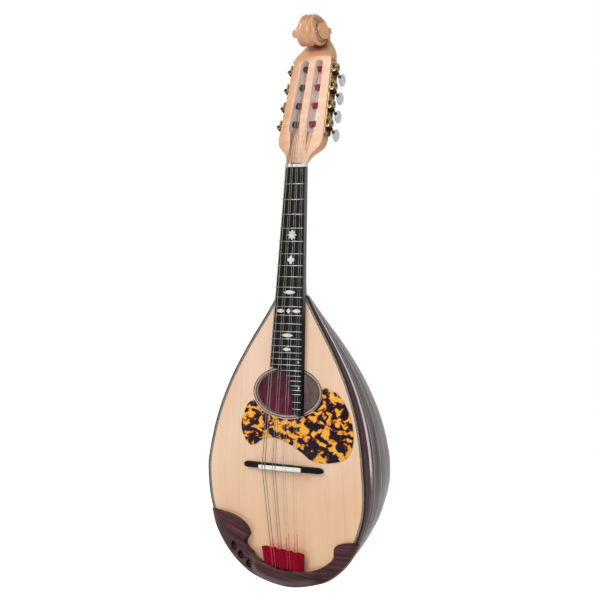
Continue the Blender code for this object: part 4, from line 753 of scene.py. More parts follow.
def make_frets():
    """Nickel fret wires: low crowns, dressed at the ends."""
    profile = ((0.52, 0.0), (0.5, 0.5), (0.4, 0.9), (0.22, 1.05), (0.0, 1.09), (-0.22, 1.05), (-0.4, 0.9),
               (-0.5, 0.5), (-0.52, 0.0))
    for number in range(1, FRETS + 1):
        if number in FRETS_LEFT_OUT:
            continue
        z = fret_z(number)
        left, right = board_left(z) + 0.1, board_half(z) - 0.1
        rings = []
        for x, low in ((left, 0.55), (left + 0.7, 1.0), (right - 0.7, 1.0), (right, 0.55)):
            rings.append([(x, -BOARD_THICK + 0.05 - rise * low, z + wide) for wide, rise in profile])
        piece("fret_%02d" % number, *loft(rings), NICKEL, smooth=50)


def flat_inlay(name, outline, material):
    """A thin inlay let in flush with the fingerboard's face."""
    rings = [[(x, y, z) for x, z in outline] for y in (-BOARD_THICK + 0.4, -BOARD_THICK - 0.03)]
    piece(name, *loft(rings), material, smooth=30)


def ellipse(x, z, wide, tall, steps=28):
    return [(x + wide / 2 * math.cos(math.tau * k / steps), z + tall / 2 * math.sin(math.tau * k / steps)) for k in range(steps)]


def lens(x, z, wide, tall, steps=16):
    upper = [(x + wide / 2 * u, z + tall / 2 * (1 - u * u)) for u in (2 * k / steps - 1 for k in range(steps + 1))]
    return upper + [(px, 2 * z - pz) for px, pz in upper[-2:0:-1]]


def petals(x, z, radius, count, hollow, turn=0.0, steps=96):
    """Outline of a flower whose edge swells and draws in."""
    found = []
    for k in range(steps):
        angle = math.tau * k / steps
        reach = radius * (hollow + (1 - hollow) * abs(math.cos(count * (angle + turn) / 2)) ** 0.8)
        found.append((x + reach * math.cos(angle), z + reach * math.sin(angle)))
    return found


def make_inlays():
    """Pearl position marks between the strings."""
    def middle(number):
        return (fret_z(number) + fret_z(number - 1)) / 2

    flat_inlay("inlay_snowflake", petals(0.0, middle(5), 5.6, 8, 0.45), NACRE)
    flat_inlay("inlay_flower", petals(0.0, middle(7), 4.8, 4, 0.5), NACRE)
    flat_inlay("inlay_bar_10", lens(0.0, middle(10), 16.0, 4.4), NACRE)
    flat_inlay("inlay_12_left", lens(-10.6, middle(12), 11.0, 4.2), NACRE)
    flat_inlay("inlay_12_right", lens(10.6, middle(12), 11.0, 4.2), NACRE)
    flat_inlay("inlay_12_middle", [(-3.0, middle(12)), (0.0, middle(12) - 3.0), (3.0, middle(12)), (0.0, middle(12) + 3.0)], NACRE)
    flat_inlay("inlay_bar_15", lens(0.0, middle(15), 15.5, 4.2), NACRE)
    flat_inlay("inlay_bar_17", lens(0.0, middle(17), 11.0, 3.8), NACRE)
    flat_inlay("inlay_dot_19", ellipse(16.0, middle(19), 2.4, 2.4), NACRE)
    flat_inlay("inlay_dot_24", ellipse(18.0, middle(24), 2.2, 2.2), NACRE)


# Bridge
def make_bridge():
    """Ebony bridge with rounded ends and a bone saddle let into its ridge."""
    rows = ((0.0, 2.1, 0.25), (0.25, 2.6, 0.42), (0.8, 3.1, 0.56), (1.5, 3.5, 0.71), (2.4, 3.8, 0.82), (3.8, 4.1, 0.93),
            (5.5, 4.2, 1.0), (14.0, 4.5, 1.0), (20.0, 4.8, 1.0), (22.0, 6.2, 1.0), (24.0, 7.4, 1.0), (25.0, 7.6, 1.0))
    rows = [(-52.0 + x, h, w) for x, h, w in rows]
    rows += [(-x, h, w) for x, h, w in rows[::-1]]
    rings = []
    for x, height, width in rows:
        foot, top, low = 3.8 * width, 3.2 * width, 3.0 * width
        ring = []
        for z, y in ((-low, 0.0), (foot, 0.0), (foot, 1.6), (top, height * 0.93), (top * 0.86, height),
                     (-low * 0.86, height), (-low, height * 0.9), (-low, 1.6)):
            at = SADDLE_Z + z
            ring.append((x, top_front(at) - (y + 0.3 if y else 0.05), at))
        rings.append(ring)
    askew = Matrix.Translation((0.0, 0.0, SADDLE_Z - 1.2)) @ Matrix.Rotation(BRIDGE_SKEW, 4, "Y") @ Matrix.Translation((0.0, 0.0, -SADDLE_Z))
    bridge = piece("ebony_bridge", *loft(rings), BRIDGE_EBONY, smooth=35, matrix=askew)
    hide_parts("bridge_base")
    section = ((-3.1, 6.0), (1.6, 6.0), (1.6, 9.2), (1.3, 9.6), (0.8, 9.8), (-1.4, 9.8), (-2.8, 9.6), (-3.1, 9.2))
    saddle = piece("bone_saddle", *loft([[(x, -y, SADDLE_Z + z) for z, y in section] for x in (-27.5, 27.5)]), BONE, smooth=35, matrix=Matrix.Translation((0.0, 0.0, -1.2)))
    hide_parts("bridge_saddle")


# Strings
def string_x(index, place):
    course_pitch, pair_pitch = COURSES[place]
    course, member = divmod(index, 2)
    return (course - 1.5) * course_pitch + (member - 0.5) * pair_pitch


def nut_string_y(index):
    return -(BOARD_THICK + 1.45 + GAUGES[index] / 2)


def string_y(z):
    hook_y = top_front(HOOK_Z) - HOOK_HEIGHT
    share = (z - BEND_Z) / (HOOK_Z - BEND_Z)
    return -SADDLE_HEIGHT + (hook_y + SADDLE_HEIGHT) * share


def hook_line_x(index, z):
    share = (z - BEND_Z) / (HOOK_Z - BEND_Z)
    return string_x(index, "bridge") + (string_x(index, "hook") - string_x(index, "bridge")) * share


# Head frame
HEAD_TILT = math.radians(11.0)
HEAD_START = (0.0, -3.0, 5.0)
HEAD_BACK = 13.4
# Each row: height, half width of the front, full half width, front, where the sides begin, back, fullness
HEAD_LOW = ((8.0, 15.5, 16.0, 0.0, 0.5, 13.4, 2.4), (12.0, 18.7, 19.2, 0.0, 0.5, 13.8, 3.2),
            (16.5, 23.5, 24.0, 0.0, 0.5, 14.0, 5.0), (21.0, 27.1, 27.6, 0.0, 0.5, 14.0, 8.0),
            (30.0, 28.7, 29.2, 0.0, 0.5, 14.0, 12.0))
HEAD_HIGH = ((118.0, 24.7, 25.2, 0.0, 0.5, 14.0, 12.0), (122.5, 23.6, 24.8, 0.0, 1.5, 14.0, 12.0),
             (127.0, 21.4, 24.2, 0.2, 4.0, 14.0, 9.0), (130.2, 16.6, 23.6, 0.6, 7.0, 14.0, 7.0),
             (133.0, 12.4, 22.8, 1.2, 9.0, 14.0, 5.0), (137.0, 11.0, 20.8, 3.4, 9.6, 14.0, 4.0),
             (141.0, 10.6, 18.2, 5.4, 9.6, 14.0, 4.0), (146.0, 9.6, 14.6, 5.0, 8.6, 13.8, 4.0),
             (153.0, 8.0, 10.4, 2.0, 7.0, 12.4, 4.0))
SIDE_LOW = (30.0, 29.2)
SIDE_HIGH = (118.0, 25.2)
SLOT_TOP = (9.2, 116.8, 4.9)
SLOT_BOTTOM = (11.4, 42.0, 6.4)
SLOT_LEDGES = {1: 2.0, -1: 3.6}
RAMP_START = 13.0
EYE = (10.4, 150.3)
# Scroll, each row an eighth turn on from the back over the top: radius and half width of its rim
VOLUTE_ROWS = ((23.6, 12.0), (22.2, 9.6), (21.0, 6.8), (20.0, 8.6), (15.2, 12.0), (14.6, 13.0), (15.6, 14.0),
               (15.0, 14.8), (12.6, 15.4), (11.6, 15.7), (10.7, 16.0), (9.9, 16.2), (9.2, 16.5), (8.7, 17.0),
               (8.4, 17.8), (8.0, 19.0), (7.4, 20.2))
VOLUTE_STEPS = 8
VOLUTE_BAND = ((1.0, 2.2), (0.88, 0.8), (0.72, 0.3), (0.36, 2.6), (0.0, 0.3), (-0.36, 2.6), (-0.72, 0.3),
               (-0.88, 0.8), (-1.0, 2.2))
VOLUTE_DISH = 2.2
KNOB_RADIUS = 4.8
KNOB_HALF = 24.2
TUNER_HEIGHTS = (113.8, 91.9, 70.3, 48.4)
ROLLER_DEPTH = 7.2
ROLLER_RADIUS = 3.0
WORM_LEAN = math.radians(17.0)
PLATE_EDGE = ((-1.6, 0.6), (1.4, 2.2), (6.3, 5.0), (6.4, 84.0), (4.6, 87.6), (0.6, 89.0), (-1.8, 91.4),
              (-4.6, 94.6), (-5.4, 90.6), (-6.2, 87.6), (-6.3, 5.0), (-4.2, 3.0))
BUTTON_START = 9.8
BUTTON_LENGTH = 12.0
BUTTON_HEIGHT = 15.5
BUTTON_THICK = 4.6
GEAR_OUT = 4.25
WORM_DROP = 6.55
LEAD = math.tau * 4.55 / 14
SIDE_ANGLE = math.atan2(SIDE_LOW[1] - SIDE_HIGH[1], SIDE_HIGH[0] - SIDE_LOW[0])


def head_matrix():
    return Matrix.Translation(HEAD_START) @ Matrix.Rotation(-HEAD_TILT, 4, "X")


def side_matrix(side):
    """The frame on the head's side face: X outwards, Z up the face."""
    (low, wide), (high, narrow) = SIDE_LOW, SIDE_HIGH
    along = Vector((side * (narrow - wide), 0.0, high - low)).normalized()
    out = Vector((side * along.z, 0.0, -side * along.x))
    back = along.cross(out)
    place = Matrix((out, back, along)).transposed().to_4x4()
    place.translation = Vector((side * wide, ROLLER_DEPTH, low))
    return head_matrix() @ place


def side_height(height):
    return (height - SIDE_LOW[0]) / math.cos(SIDE_ANGLE)


def back_section(half, front, back, fullness, steps=36):
    points = []
    for k in range(steps + 1):
        angle = math.pi * k / steps
        across = math.copysign(abs(math.cos(angle)) ** (2 / fullness), math.cos(angle))
        points.append((half * across, front + (back - front) * max(math.sin(angle), 0.0) ** (2 / fullness)))
    return points


def make_neck():
    rows = ((3.5, 12.8, 1.25), (-60.0, 13.5, 1.25), (-110.0, 14.3, 1.3), (-128.0, 15.1, 1.4), (-137.0, 16.1, 1.6),
            (-141.9, 17.0, 2.0))
    rings = [[(x, y, z) for x, y in back_section(board_half(min(z, 0.0)), 0.0, depth, fullness)]
             for z, depth, fullness in rows]
    neck = piece("maple_neck", *loft(rings), MAPLE, smooth=50)
    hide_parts("neck")





def volute_solid():
    """The scroll: a fluted outer band, and on each side two turns that climb to a round knob at the eye."""
    rows = smooth_rows(VOLUTE_ROWS, VOLUTE_STEPS)
    band = smooth_rows(VOLUTE_BAND, 5)
    turn = 8 * VOLUTE_STEPS
    count = len(rows) - 1
    drop = VOLUTE_BAND[0][1]
    front, height = EYE
    verts, faces, at = [], [], {}

    def put(key, x, step, radius):
        angle = step * math.pi / 4 / VOLUTE_STEPS
        at[key] = len(verts)
        verts.append((x, radius * math.cos(angle) - front, height + radius * math.sin(angle)))

    def strip(*corners):
        faces.append(tuple(at[corner] for corner in corners))

    for k in range(turn + 1):
        radius, half = rows[k]
        for part, (share, fall) in enumerate(band[1:-1], 1):
            put(("band", part, k), half * share, k, radius - fall)
    last = len(band) - 1
    knob = [(rows[-1][1], KNOB_RADIUS), (rows[-1][1] + 0.6, KNOB_RADIUS - 0.5), (KNOB_HALF - 2.6, KNOB_RADIUS - 0.3)]
    knob += [(KNOB_HALF - 2.0 + 2.0 * math.sin(a), KNOB_RADIUS - 2.0 + 2.0 * math.cos(a)) for a in
             (math.pi / 2 * s / 5 for s in range(6))]
    for side, end in ((1, 0), (-1, last)):
        for k in range(count + 1):
            radius, half = rows[k]
            put(("rim", side, k), side * half, k, radius - drop if k < turn else radius - 0.7)
            if k <= turn:
                at["band", end, k] = at["rim", side, k]
            if k >= turn:
                outer, low = rows[k - turn]
                put(("wall", side, k), side * (half - 0.8), k, radius)
                put(("foot", side, k), side * (low + 0.2), k, radius)
                put(("dish", side, k), side * (low - VOLUTE_DISH), k, (radius + outer - drop) / 2)
        for k in range(turn):
            for row, (x, radius) in enumerate(knob):
                put(("knob", side, row, k), side * x, k, radius)
        for k in range(turn, count):
            low, after = k - turn, (k + 1 - turn) % turn
            strip(("rim", side, low), ("rim", side, low + 1), ("dish", side, k + 1), ("dish", side, k))
            for outer_row, inner_row in (("dish", "foot"), ("foot", "wall"), ("wall", "rim")):
                strip((outer_row, side, k), (outer_row, side, k + 1), (inner_row, side, k + 1), (inner_row, side, k))
            strip(("rim", side, k), ("rim", side, k + 1), ("knob", side, 0, after), ("knob", side, 0, low))
            for row in range(len(knob) - 1):
                strip(("knob", side, row, low), ("knob", side, row, after),
                      ("knob", side, row + 1, after), ("knob", side, row + 1, low))
        strip(("rim", side, count), ("wall", side, count), ("foot", side, count), ("dish", side, count),
              ("rim", side, turn), ("knob", side, 0, 0))
        strip(*(("knob", side, len(knob) - 1, k) for k in range(turn)))
    for k in range(turn):
        for part in range(last):
            strip(("band", part, k), ("band", part + 1, k), ("band", part + 1, k + 1), ("band", part, k + 1))
    inwards = ("wall", "foot", "dish")
    strip(*(("band", part, 0) for part in range(last + 1)), *((row, -1, turn) for row in inwards[::-1]),
          *(("band", part, turn) for part in range(last, -1, -1)), *((row, 1, turn) for row in inwards))
    return verts, faces


def belt(first, second, steps=16):
    """Outline of a belt round two circles."""
    (xa, za, ra), (xb, zb, rb) = first, second
    apart = math.hypot(xa - xb, za - zb)
    lean = math.atan2(za - zb, xa - xb)
    wrap = math.asin((ra - rb) / apart)
    points = []
    for (x, z, r), low, high in ((first, -math.pi / 2 - wrap, math.pi / 2 + wrap),
                                 (second, math.pi / 2 + wrap, 3 * math.pi / 2 - wrap)):
        for k in range(steps + 1):
            angle = lean + low + (high - low) * k / steps
            points.append((x + r * math.cos(angle), z + r * math.sin(angle)))
    return points


def slot_walls(height):
    """Inner and outer wall of a slot at a height up the head."""
    (x_top, z_top, r_top), (x_low, z_low, r_low) = SLOT_TOP, SLOT_BOTTOM
    t = (height - z_low) / (z_top - z_low)
    centre, half = x_low + (x_top - x_low) * t, r_low + (r_top - r_low) * t
    return centre - half, centre + half


def roller_reach(height):
    return face_x(height) - slot_walls(height)[0] + 1.2


def roller_matrix(height, side):
    """Frame on a roller's axis, leaned so that the worm's button end lies lower."""
    return (side_matrix(side) @ Matrix.Translation((0.0, 0.0, side_height(height)))
            @ Matrix.Rotation(-side * WORM_LEAN, 4, "X"))


def face_x(height):
    share = (height - SIDE_LOW[0]) / (SIDE_HIGH[0] - SIDE_LOW[0])
    return SIDE_LOW[1] + (SIDE_HIGH[1] - SIDE_LOW[1]) * share


def head_section(front_half, half, front, sides, back, fullness):
    """A section of the head: an eased front edge, full sides and a back cut flat."""
    rounded = [(x, min(y, HEAD_BACK)) for x, y in back_section(half, sides, back, fullness)]
    ease = [(front_half + (half - front_half) * math.sin(a), sides - (sides - front) * math.cos(a))
            for a in (math.pi / 2 * s / 5 for s in range(5))]
    return [*ease, *rounded, *[(-x, y) for x, y in ease[::-1]]]


def make_head():
    """Slotted maple head that runs up into the scroll."""
    place = head_matrix()
    local = place.inverted()
    half, front = NUT_WIDTH / 2 + 0.3, HEAD_START[1]
    first = head_section(half - 0.5, half, front, front + 0.5, 12.8, 1.25)
    rings = [[tuple(local @ Vector((x, y, 3.8))) for x, y in first]]
    rows = smooth_rows(HEAD_LOW, 3, after=(39.0, 26.3, 26.8, 0.0, 0.5, 14.0, 12.0))
    for row_height, *row in rows + smooth_rows(HEAD_HIGH, 4):
        rings.append([(x, y, row_height) for x, y in head_section(*row)])
    head = piece("scroll_head", *loft(rings), [MAPLE, SLOT_WALL_PAINTED_LIGHT], smooth=35, matrix=place)
    cut(head, *volute_solid(), operation="UNION", matrix=place)
    for side in (1, -1):
        outline = [(side * x, z) for x, z in belt(SLOT_TOP, SLOT_BOTTOM)]
        back = shrunk(outline, SLOT_LEDGES[side])
        # The slot walls take the near white maple, painted light against their shade.
        cut(head, *loft([[(x, y, z) for x, z in line] for y, line in ((-8.0, outline), (11.0, outline), (12.2, back), (22.0, back))]),
            matrix=place, slot=1)
        x_low, z_low, r_low = SLOT_BOTTOM
        ramp_rows = []
        for z, x, half, depth in ((RAMP_START, x_low - 1.2, 2.6, 0.0), (z_low, x_low, r_low * 0.9, 4.0)):
            ramp_rows.append([(side * (x - half), -3.0, z), (side * (x + half), -3.0, z),
                              (side * (x + half * 0.6), depth, z), (side * (x - half * 0.6), depth, z)])
        cut(head, *loft(ramp_rows), matrix=place)
        for height in TUNER_HEIGHTS:
            bore = [[(x, y, side_height(height) + z) for y, z in circle(3.15, 24)]
                    for x in (-roller_reach(height) - 0.3, 3.0)]
            cut(head, *loft(bore), matrix=side_matrix(side))
    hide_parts("headstock")
    # A thin ebony strip across the head's face just above the nut.
    strip = [[(x, y, z) for y, z in ((-2.6, 3.55), (-5.6, 3.55), (-5.4, 4.9), (-2.6, 5.1))] for x in (-half, half)]
    piece("dark_strip_above_nut", *loft(strip), EBONY, smooth=30)


# Tuners
def turned(profile, sides):
    return loft([[(x, y, z) for x, z in circle(radius, sides)] for y, radius in profile])


def turned_x(profile, sides):
    return loft([[(x, y, z) for y, z in circle(radius, sides)] for x, radius in profile])


def make_gear(name, place, body):
    """Cut brass wheel with slanted teeth, a raised hub ring and a slotted screw."""
    teeth, low, high = 14, GEAR_OUT - 1.0, GEAR_OUT + 1.0
    lean = LEAD / (math.tau * 2.0) / 4.55
    rings = []
    for x, grow in ((low, -0.15), (low + 0.15, 0.0), (GEAR_OUT, 0.0), (high - 0.15, 0.0), (high, -0.15)):
        ring = []
        for tooth in range(teeth):
            middle = math.tau * (tooth + 0.5) / teeth + lean * (x - GEAR_OUT)
            for radius, turn in ((3.75, -0.17), (3.85, -0.145), (4.85, -0.055), (4.95, -0.035), (4.95, 0.035), (4.85, 0.055),
                                 (3.85, 0.145), (3.75, 0.17)):
                ring.append((x, (radius + grow) * math.sin(middle + turn), -(radius + grow) * math.cos(middle + turn)))
        rings.append(ring)
    piece("gear_" + name, *loft(rings), GILT, body, smooth=35, matrix=place)
    hub = turned_x(((high - 0.05, 3.1), (high + 0.25, 3.0), (high + 0.35, 2.8), (high + 0.35, 2.0), (high + 0.05, 1.9)), 32)
    piece("gear_hub_" + name, *hub, GILT, body, smooth=35, matrix=place)
    screw = turned_x(((high - 0.05, 1.7), (high + 0.5, 1.7), (high + 0.85, 1.35), (high + 0.95, 0.7)), 24)
    head = piece("gear_screw_" + name, *screw, DARK_STEEL, body, smooth=40, matrix=place)
    slot = [[(high + x, y, z) for x, y in ((0.55, -0.22), (1.2, -0.22), (1.2, 0.22), (0.55, 0.22))] for z in (-2.0, 2.0)]
    cut(head, *loft(slot), matrix=place)
    axle = turned_x(((-0.25, 1.5), (low + 0.05, 1.5)), 24)
    piece("gear_shaft_" + name, *axle, GILT, body, smooth=40, matrix=place)


def make_roller(name, height, side):
    body = "roller_" + name
    place = roller_matrix(height, side)
    reach = roller_reach(height)
    bone = turned_x(((-reach, 2.6), (-reach + 0.3, 3.0), (-0.5, 3.0), (-0.2, 2.7)), 32)
    core = piece("bone_roller_" + name, *bone, BONE, body, smooth=35, matrix=place)
    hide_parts(body)
    make_gear(name, place, body)


def make_worm(name, height, side):
    """Steel worm cut on its shaft between the two lugs, and the shaft to the pearl button."""
    body = "worm_" + name
    place = roller_matrix(height, side) @ Matrix.Translation((GEAR_OUT, 0.0, -WORM_DROP))
    around, along, half = 24, 72, 3.35
    rings = []
    for k in range(along + 1):
        y = half * (2 * k / along - 1)
        ring = []
        for j in range(around):
            angle = math.tau * j / around
            phase = (y / LEAD - angle / math.tau) % 1.0
            away = min(phase, 1.0 - phase) * LEAD
            lift = min(max((0.5 - away) / 0.33, 0.0), 1.0) * blend(half, half - 0.5, abs(y))
            radius = 1.25 + 1.15 * lift
            ring.append((radius * math.sin(angle), y, radius * math.cos(angle)))
        rings.append(ring)
    piece("worm_thread_" + name, *loft(rings), DARK_STEEL, body, smooth=35, matrix=place)
    start = BUTTON_START
    rows = ((-5.0, 0.7), (-4.85, 1.05), (-3.3, 1.1), (start - 2.2, 1.1), (start - 2.0, 1.7), (start - 1.5, 1.95),
            (start - 0.9, 1.95), (start - 0.5, 1.6), (start - 0.3, 1.9), (start + 0.1, 2.0), (start + 0.3, 1.1), (start + 5.0, 1.1))
    shaft = piece("worm_spindle_" + name, *turned([(side * y, r) for y, r in rows], 24), DARK_STEEL, body, smooth=40,
                  matrix=place)
    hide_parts("worm_shaft_" + name)
    rows = smooth_rows(BUTTON_ROWS, 4)
    rings = []
    for share, wide, tall in rows:
        y = side * (start + min(max(share, 0.0), 1.0) * BUTTON_LENGTH)
        rings.append([(x * wide * BUTTON_THICK / 2, y, z * tall * BUTTON_HEIGHT / 2) for x, z in circle(1.0, 40)])
    button = piece("pearl_button_" + name, *loft(rings), PEARL, body, smooth=60, matrix=place)
    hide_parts("button_" + name)


BUTTON_ROWS = ((0.0, 0.6, 0.28), (0.06, 0.78, 0.5), (0.14, 0.88, 0.72), (0.25, 0.96, 0.9), (0.45, 1.0, 1.0),
               (0.65, 1.0, 0.96), (0.85, 0.82, 0.74), (0.95, 0.5, 0.46), (1.0, 0.16, 0.16))


def joined(parts):
    """One set of points and faces from several closed shapes."""
    verts, faces = [], []
    for part_verts, part_faces in parts:
        first = len(verts)
        verts += part_verts
        faces += [tuple(first + k for k in face) for face in part_faces]
    return verts, faces


def moved(shape, matrix):
    verts, faces = shape
    return [tuple(matrix @ Vector(v)) for v in verts], faces


def make_plate(name, side):
    """Gilt side plate with a pointed tip at each end, round-ended lugs for the worms and slotted screws."""
    place = side_matrix(side)
    outline = [(side * y if side > 0 else min(-y, 4.9), z) for y, z in PLATE_EDGE]
    rings = [[(x, y, z) for y, z in (shrunk(outline, ease) if ease else outline)]
             for x, ease in ((0.3, 0.0), (1.3, 0.0), (1.5, 0.25))]
    plate = piece("side_plate_" + name, *loft(rings), GILT, smooth=30, matrix=place)
    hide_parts("tuner_plate_" + name)
    lugs, cups = [], []
    for height in TUNER_HEIGHTS:
        lean = place.inverted() @ roller_matrix(height, side) @ Matrix.Translation((0.0, 0.0, -WORM_DROP))
        edge = [(0.9, -2.3)] + [(GEAR_OUT + 2.15 * math.sin(a), -2.3 * math.cos(a)) for a in
                                (math.pi * s / 14 for s in range(15))] + [(0.9, 2.3)]
        for end in (1, -1):
            lugs.append(moved(loft([[(x, end * y, z) for x, z in edge] for y in (3.7, 4.7)]), lean))
        ring = ((4.6, 1.2), (4.6, 2.1), (5.0, 2.05), (5.3, 1.7), (5.3, 1.3), (5.0, 1.15))
        steps = 24
        verts = [(GEAR_OUT + r * math.cos(math.tau * k / steps), -side * y, r * math.sin(math.tau * k / steps))
                 for y, r in ring for k in range(steps)]
        faces = []
        for row in range(len(ring)):
            low, high = row * steps, (row + 1) % len(ring) * steps
            faces += [(low + k, low + (k + 1) % steps, high + (k + 1) % steps, high + k) for k in range(steps)]
        cups.append(moved((verts, faces), lean))
    piece("worm_lugs_" + name, *joined(lugs), GILT, smooth=35, matrix=place)
    # On the left the cups take browned steel, painted shade for that side.
    piece("worm_cups_" + name, *joined(cups), PALE_GILT if side > 0 else DARK_STEEL, smooth=50, matrix=place)
    heads = []
    spots = [(0.0, 3.6)] + [(-side * 3.6, side_height(h) + 8.2) for h in TUNER_HEIGHTS[1:]] + [(-side * 4.4, 91.0)]
    for y, z in spots:
        dome = turned_x(((1.4, 1.5), (1.75, 1.45), (2.0, 1.1), (2.1, 0.5)), 20)
        heads.append(moved(dome, Matrix.Translation((0.0, y, z))))
    piece("plate_screws_" + name, *joined(heads), DARK_STEEL, smooth=40, matrix=place)


def make_winding(index, name, height, side, lane):
    """Close turns of red silk over the roller, from one wall of the slot to the other."""
    body = "roller_" + name
    thick = 0.56
    place = side_matrix(side) @ Matrix.Translation((0.0, 0.0, side_height(height)))
    start, end = ((x - face_x(height)) / math.cos(SIDE_ANGLE) for x in slot_walls(height))
    start, end = start + 0.7, end - 0.7
    turns = round((end - start) / thick)
    steps = 24
    points = []
    for k in range(turns * steps + 1):
        share = k / (turns * steps)
        angle = -math.tau * k / steps
        radius = ROLLER_RADIUS + 0.02 + thick / 2 + 0.12 * math.sin(7.0 * share + index)
        points.append((start + (end - start) * share, -side * radius * math.cos(angle), -radius * math.sin(angle)))
    silk = SILK if side > 0 else BROWN_SILK
    coil = piece("silk_winding_" + name, *loft(tube_rings(points, thick / 2, 8)), silk, body, smooth=60, matrix=place)
    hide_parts("winding_" + name)
    radius = ROLLER_RADIUS + thick + 0.1 + GAUGES[index] / 2
    nut = place.inverted() @ Vector((string_x(index, "nut"), nut_string_y(index), 3.5))
    front, towards = -side * nut.y, -nut.z
    turn = math.atan2(towards, front) - math.acos(radius / math.hypot(front, towards))
    out = (lane - face_x(height)) / math.cos(SIDE_ANGLE)
    return place @ Vector((out, -side * radius * math.cos(turn), -radius * math.sin(turn)))


LANES = {1: (9.3, 10.6, 12.4, 14.6), -1: (9.0, 10.0, 11.0, 12.6)}


def make_string(index, name, leave):
    """A string from its roller over the nut and saddle to its hook, with red silk over both ends."""
    gauge = GAUGES[index]
    nut = Vector((string_x(index, "nut"), nut_string_y(index), 3.5))
    bridge = (string_x(index, "bridge"), -SADDLE_HEIGHT, BEND_Z)
    end = HOOK_Z - 2.5
    points = [leave, nut, (nut.x, nut.y, 0.0), bridge, (hook_line_x(index, end), string_y(end), end)]
    line = piece("string_line_" + name, *loft(tube_rings(points, gauge / 2, 12)), WOUND if gauge > 0.5 else STEEL, smooth=60)
    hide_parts("string_" + name)
    if name == "a_inner":
        far = leave + (nut - leave) * 0.17
        piece("head_silk_" + name, *loft(tube_rings([leave, far], gauge / 2 + 0.12, 10)), SILK, smooth=60)
    tail = [(hook_line_x(index, z), string_y(z), z) for z in (SILK_START[index], end)]
    piece("tail_silk_" + name, *loft(tube_rings(tail, gauge / 2 + 0.16, 10)), TAIL_SILK, smooth=60)


SILK_START = (-420.9, -415.0, -421.8, -415.3, -410.0, -405.5, -415.6, -406.0)


# Tail: felt, cover and hook plate
COVER_EDGE = ((-96.5, -387.2), (-84.0, -388.8), (-71.8, -391.2), (-62.5, -394.8), (-55.2, -399.4),
              (-50.2, -405.0), (-48.2, -411.2), (-51.2, -416.4), (-53.8, -420.8), (-51.8, -425.6),
              (-46.5, -429.8), (-38.0, -434.6), (-29.4, -439.2), (-20.0, -443.6), (-11.4, -446.6),
              (1.8, -448.5), (18.2, -447.8), (34.0, -445.6), (43.0, -442.6), (50.8, -438.4),
              (58.0, -433.4), (62.5, -428.8), (63.4, -423.6), (63.8, -418.4), (66.6, -414.8),
              (71.3, -412.2), (82.5, -409.8), (95.5, -409.3))
COVER_LEFT_Z = -385.5
COVER_RIGHT_Z = -409.0
COVER_EDGE_THICK = 3.4
COVER_LIP = 5.0
COVER_LOBE_HEIGHT = 7.4
COVER_RIGHT_HEIGHT = 5.0
COVER_ARCH_HEIGHT = 12.6
COVER_ARCH_ROOM = 10.0
COVER_ARCH_SIDES = (34.0, 47.0)
DIMPLES = ((-68.9, -427.0, 4.8), (-59.5, -436.6, 4.6), (-49.5, -446.2, 4.4))
FELT_TOP_Z = -424.5
FELT_HEIGHT = 22.0
FELT_SIDES = (-25.4, 23.0)
FELT_SHEAR = 0.094
FELT_THICK = 1.6
FELT_WAVE = 2.0


def make_felt():
    """Red felt strip woven over one course of strings and under the next."""
    columns, rows = 144, 14
    left, right = FELT_SIDES
    rings = []
    for k in range(columns + 1):
        across = left + (right - left) * k / columns
        ring = []
        for side in (-1, 1):
            for r in range(rows + 1):
                share = r / rows if side < 0 else 1 - r / rows
                z = FELT_TOP_Z - FELT_HEIGHT * share - FELT_SHEAR * across
                pitch = 9.6 + (13.8 - 9.6) * (z - HOOK_Z) / (BEND_Z - HOOK_Z)
                wave = FELT_WAVE * math.cos(math.pi * (across / 9.6 - 0.5))
                edge = (1 - share) ** 2 * (0.55 * math.cos(math.tau * across / 9.6 + 1.0) - 0.5)
                fray = 0.12 * math.sin(across * 1.9 + share * 5.0)
                ring.append((across * pitch / 9.6, string_y(z) + wave + side * FELT_THICK / 2, z + edge + fray * (1 - share)))
        rings.append(ring)
    felt = piece("woven_felt", *loft(rings), FELT, smooth=60)
    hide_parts("damper_felt")


def cover_stations():
    rows = [(row[1], row[0]) for row in body_rows(12)]
    line = [(-x, z) for x, z in rows] + rows[-2::-1]
    tail = len(rows) - 1
    found = []
    for i in range(1, len(line) - 1):
        dx = line[i + 1][0] - line[i - 1][0]
        dz = line[i + 1][1] - line[i - 1][1]
        run = math.hypot(dx, dz)
        limit = COVER_LEFT_Z if i < tail else COVER_RIGHT_Z
        if line[i][1] < limit:
            found.append((line[i], (dz / run, -dx / run)))
    return found


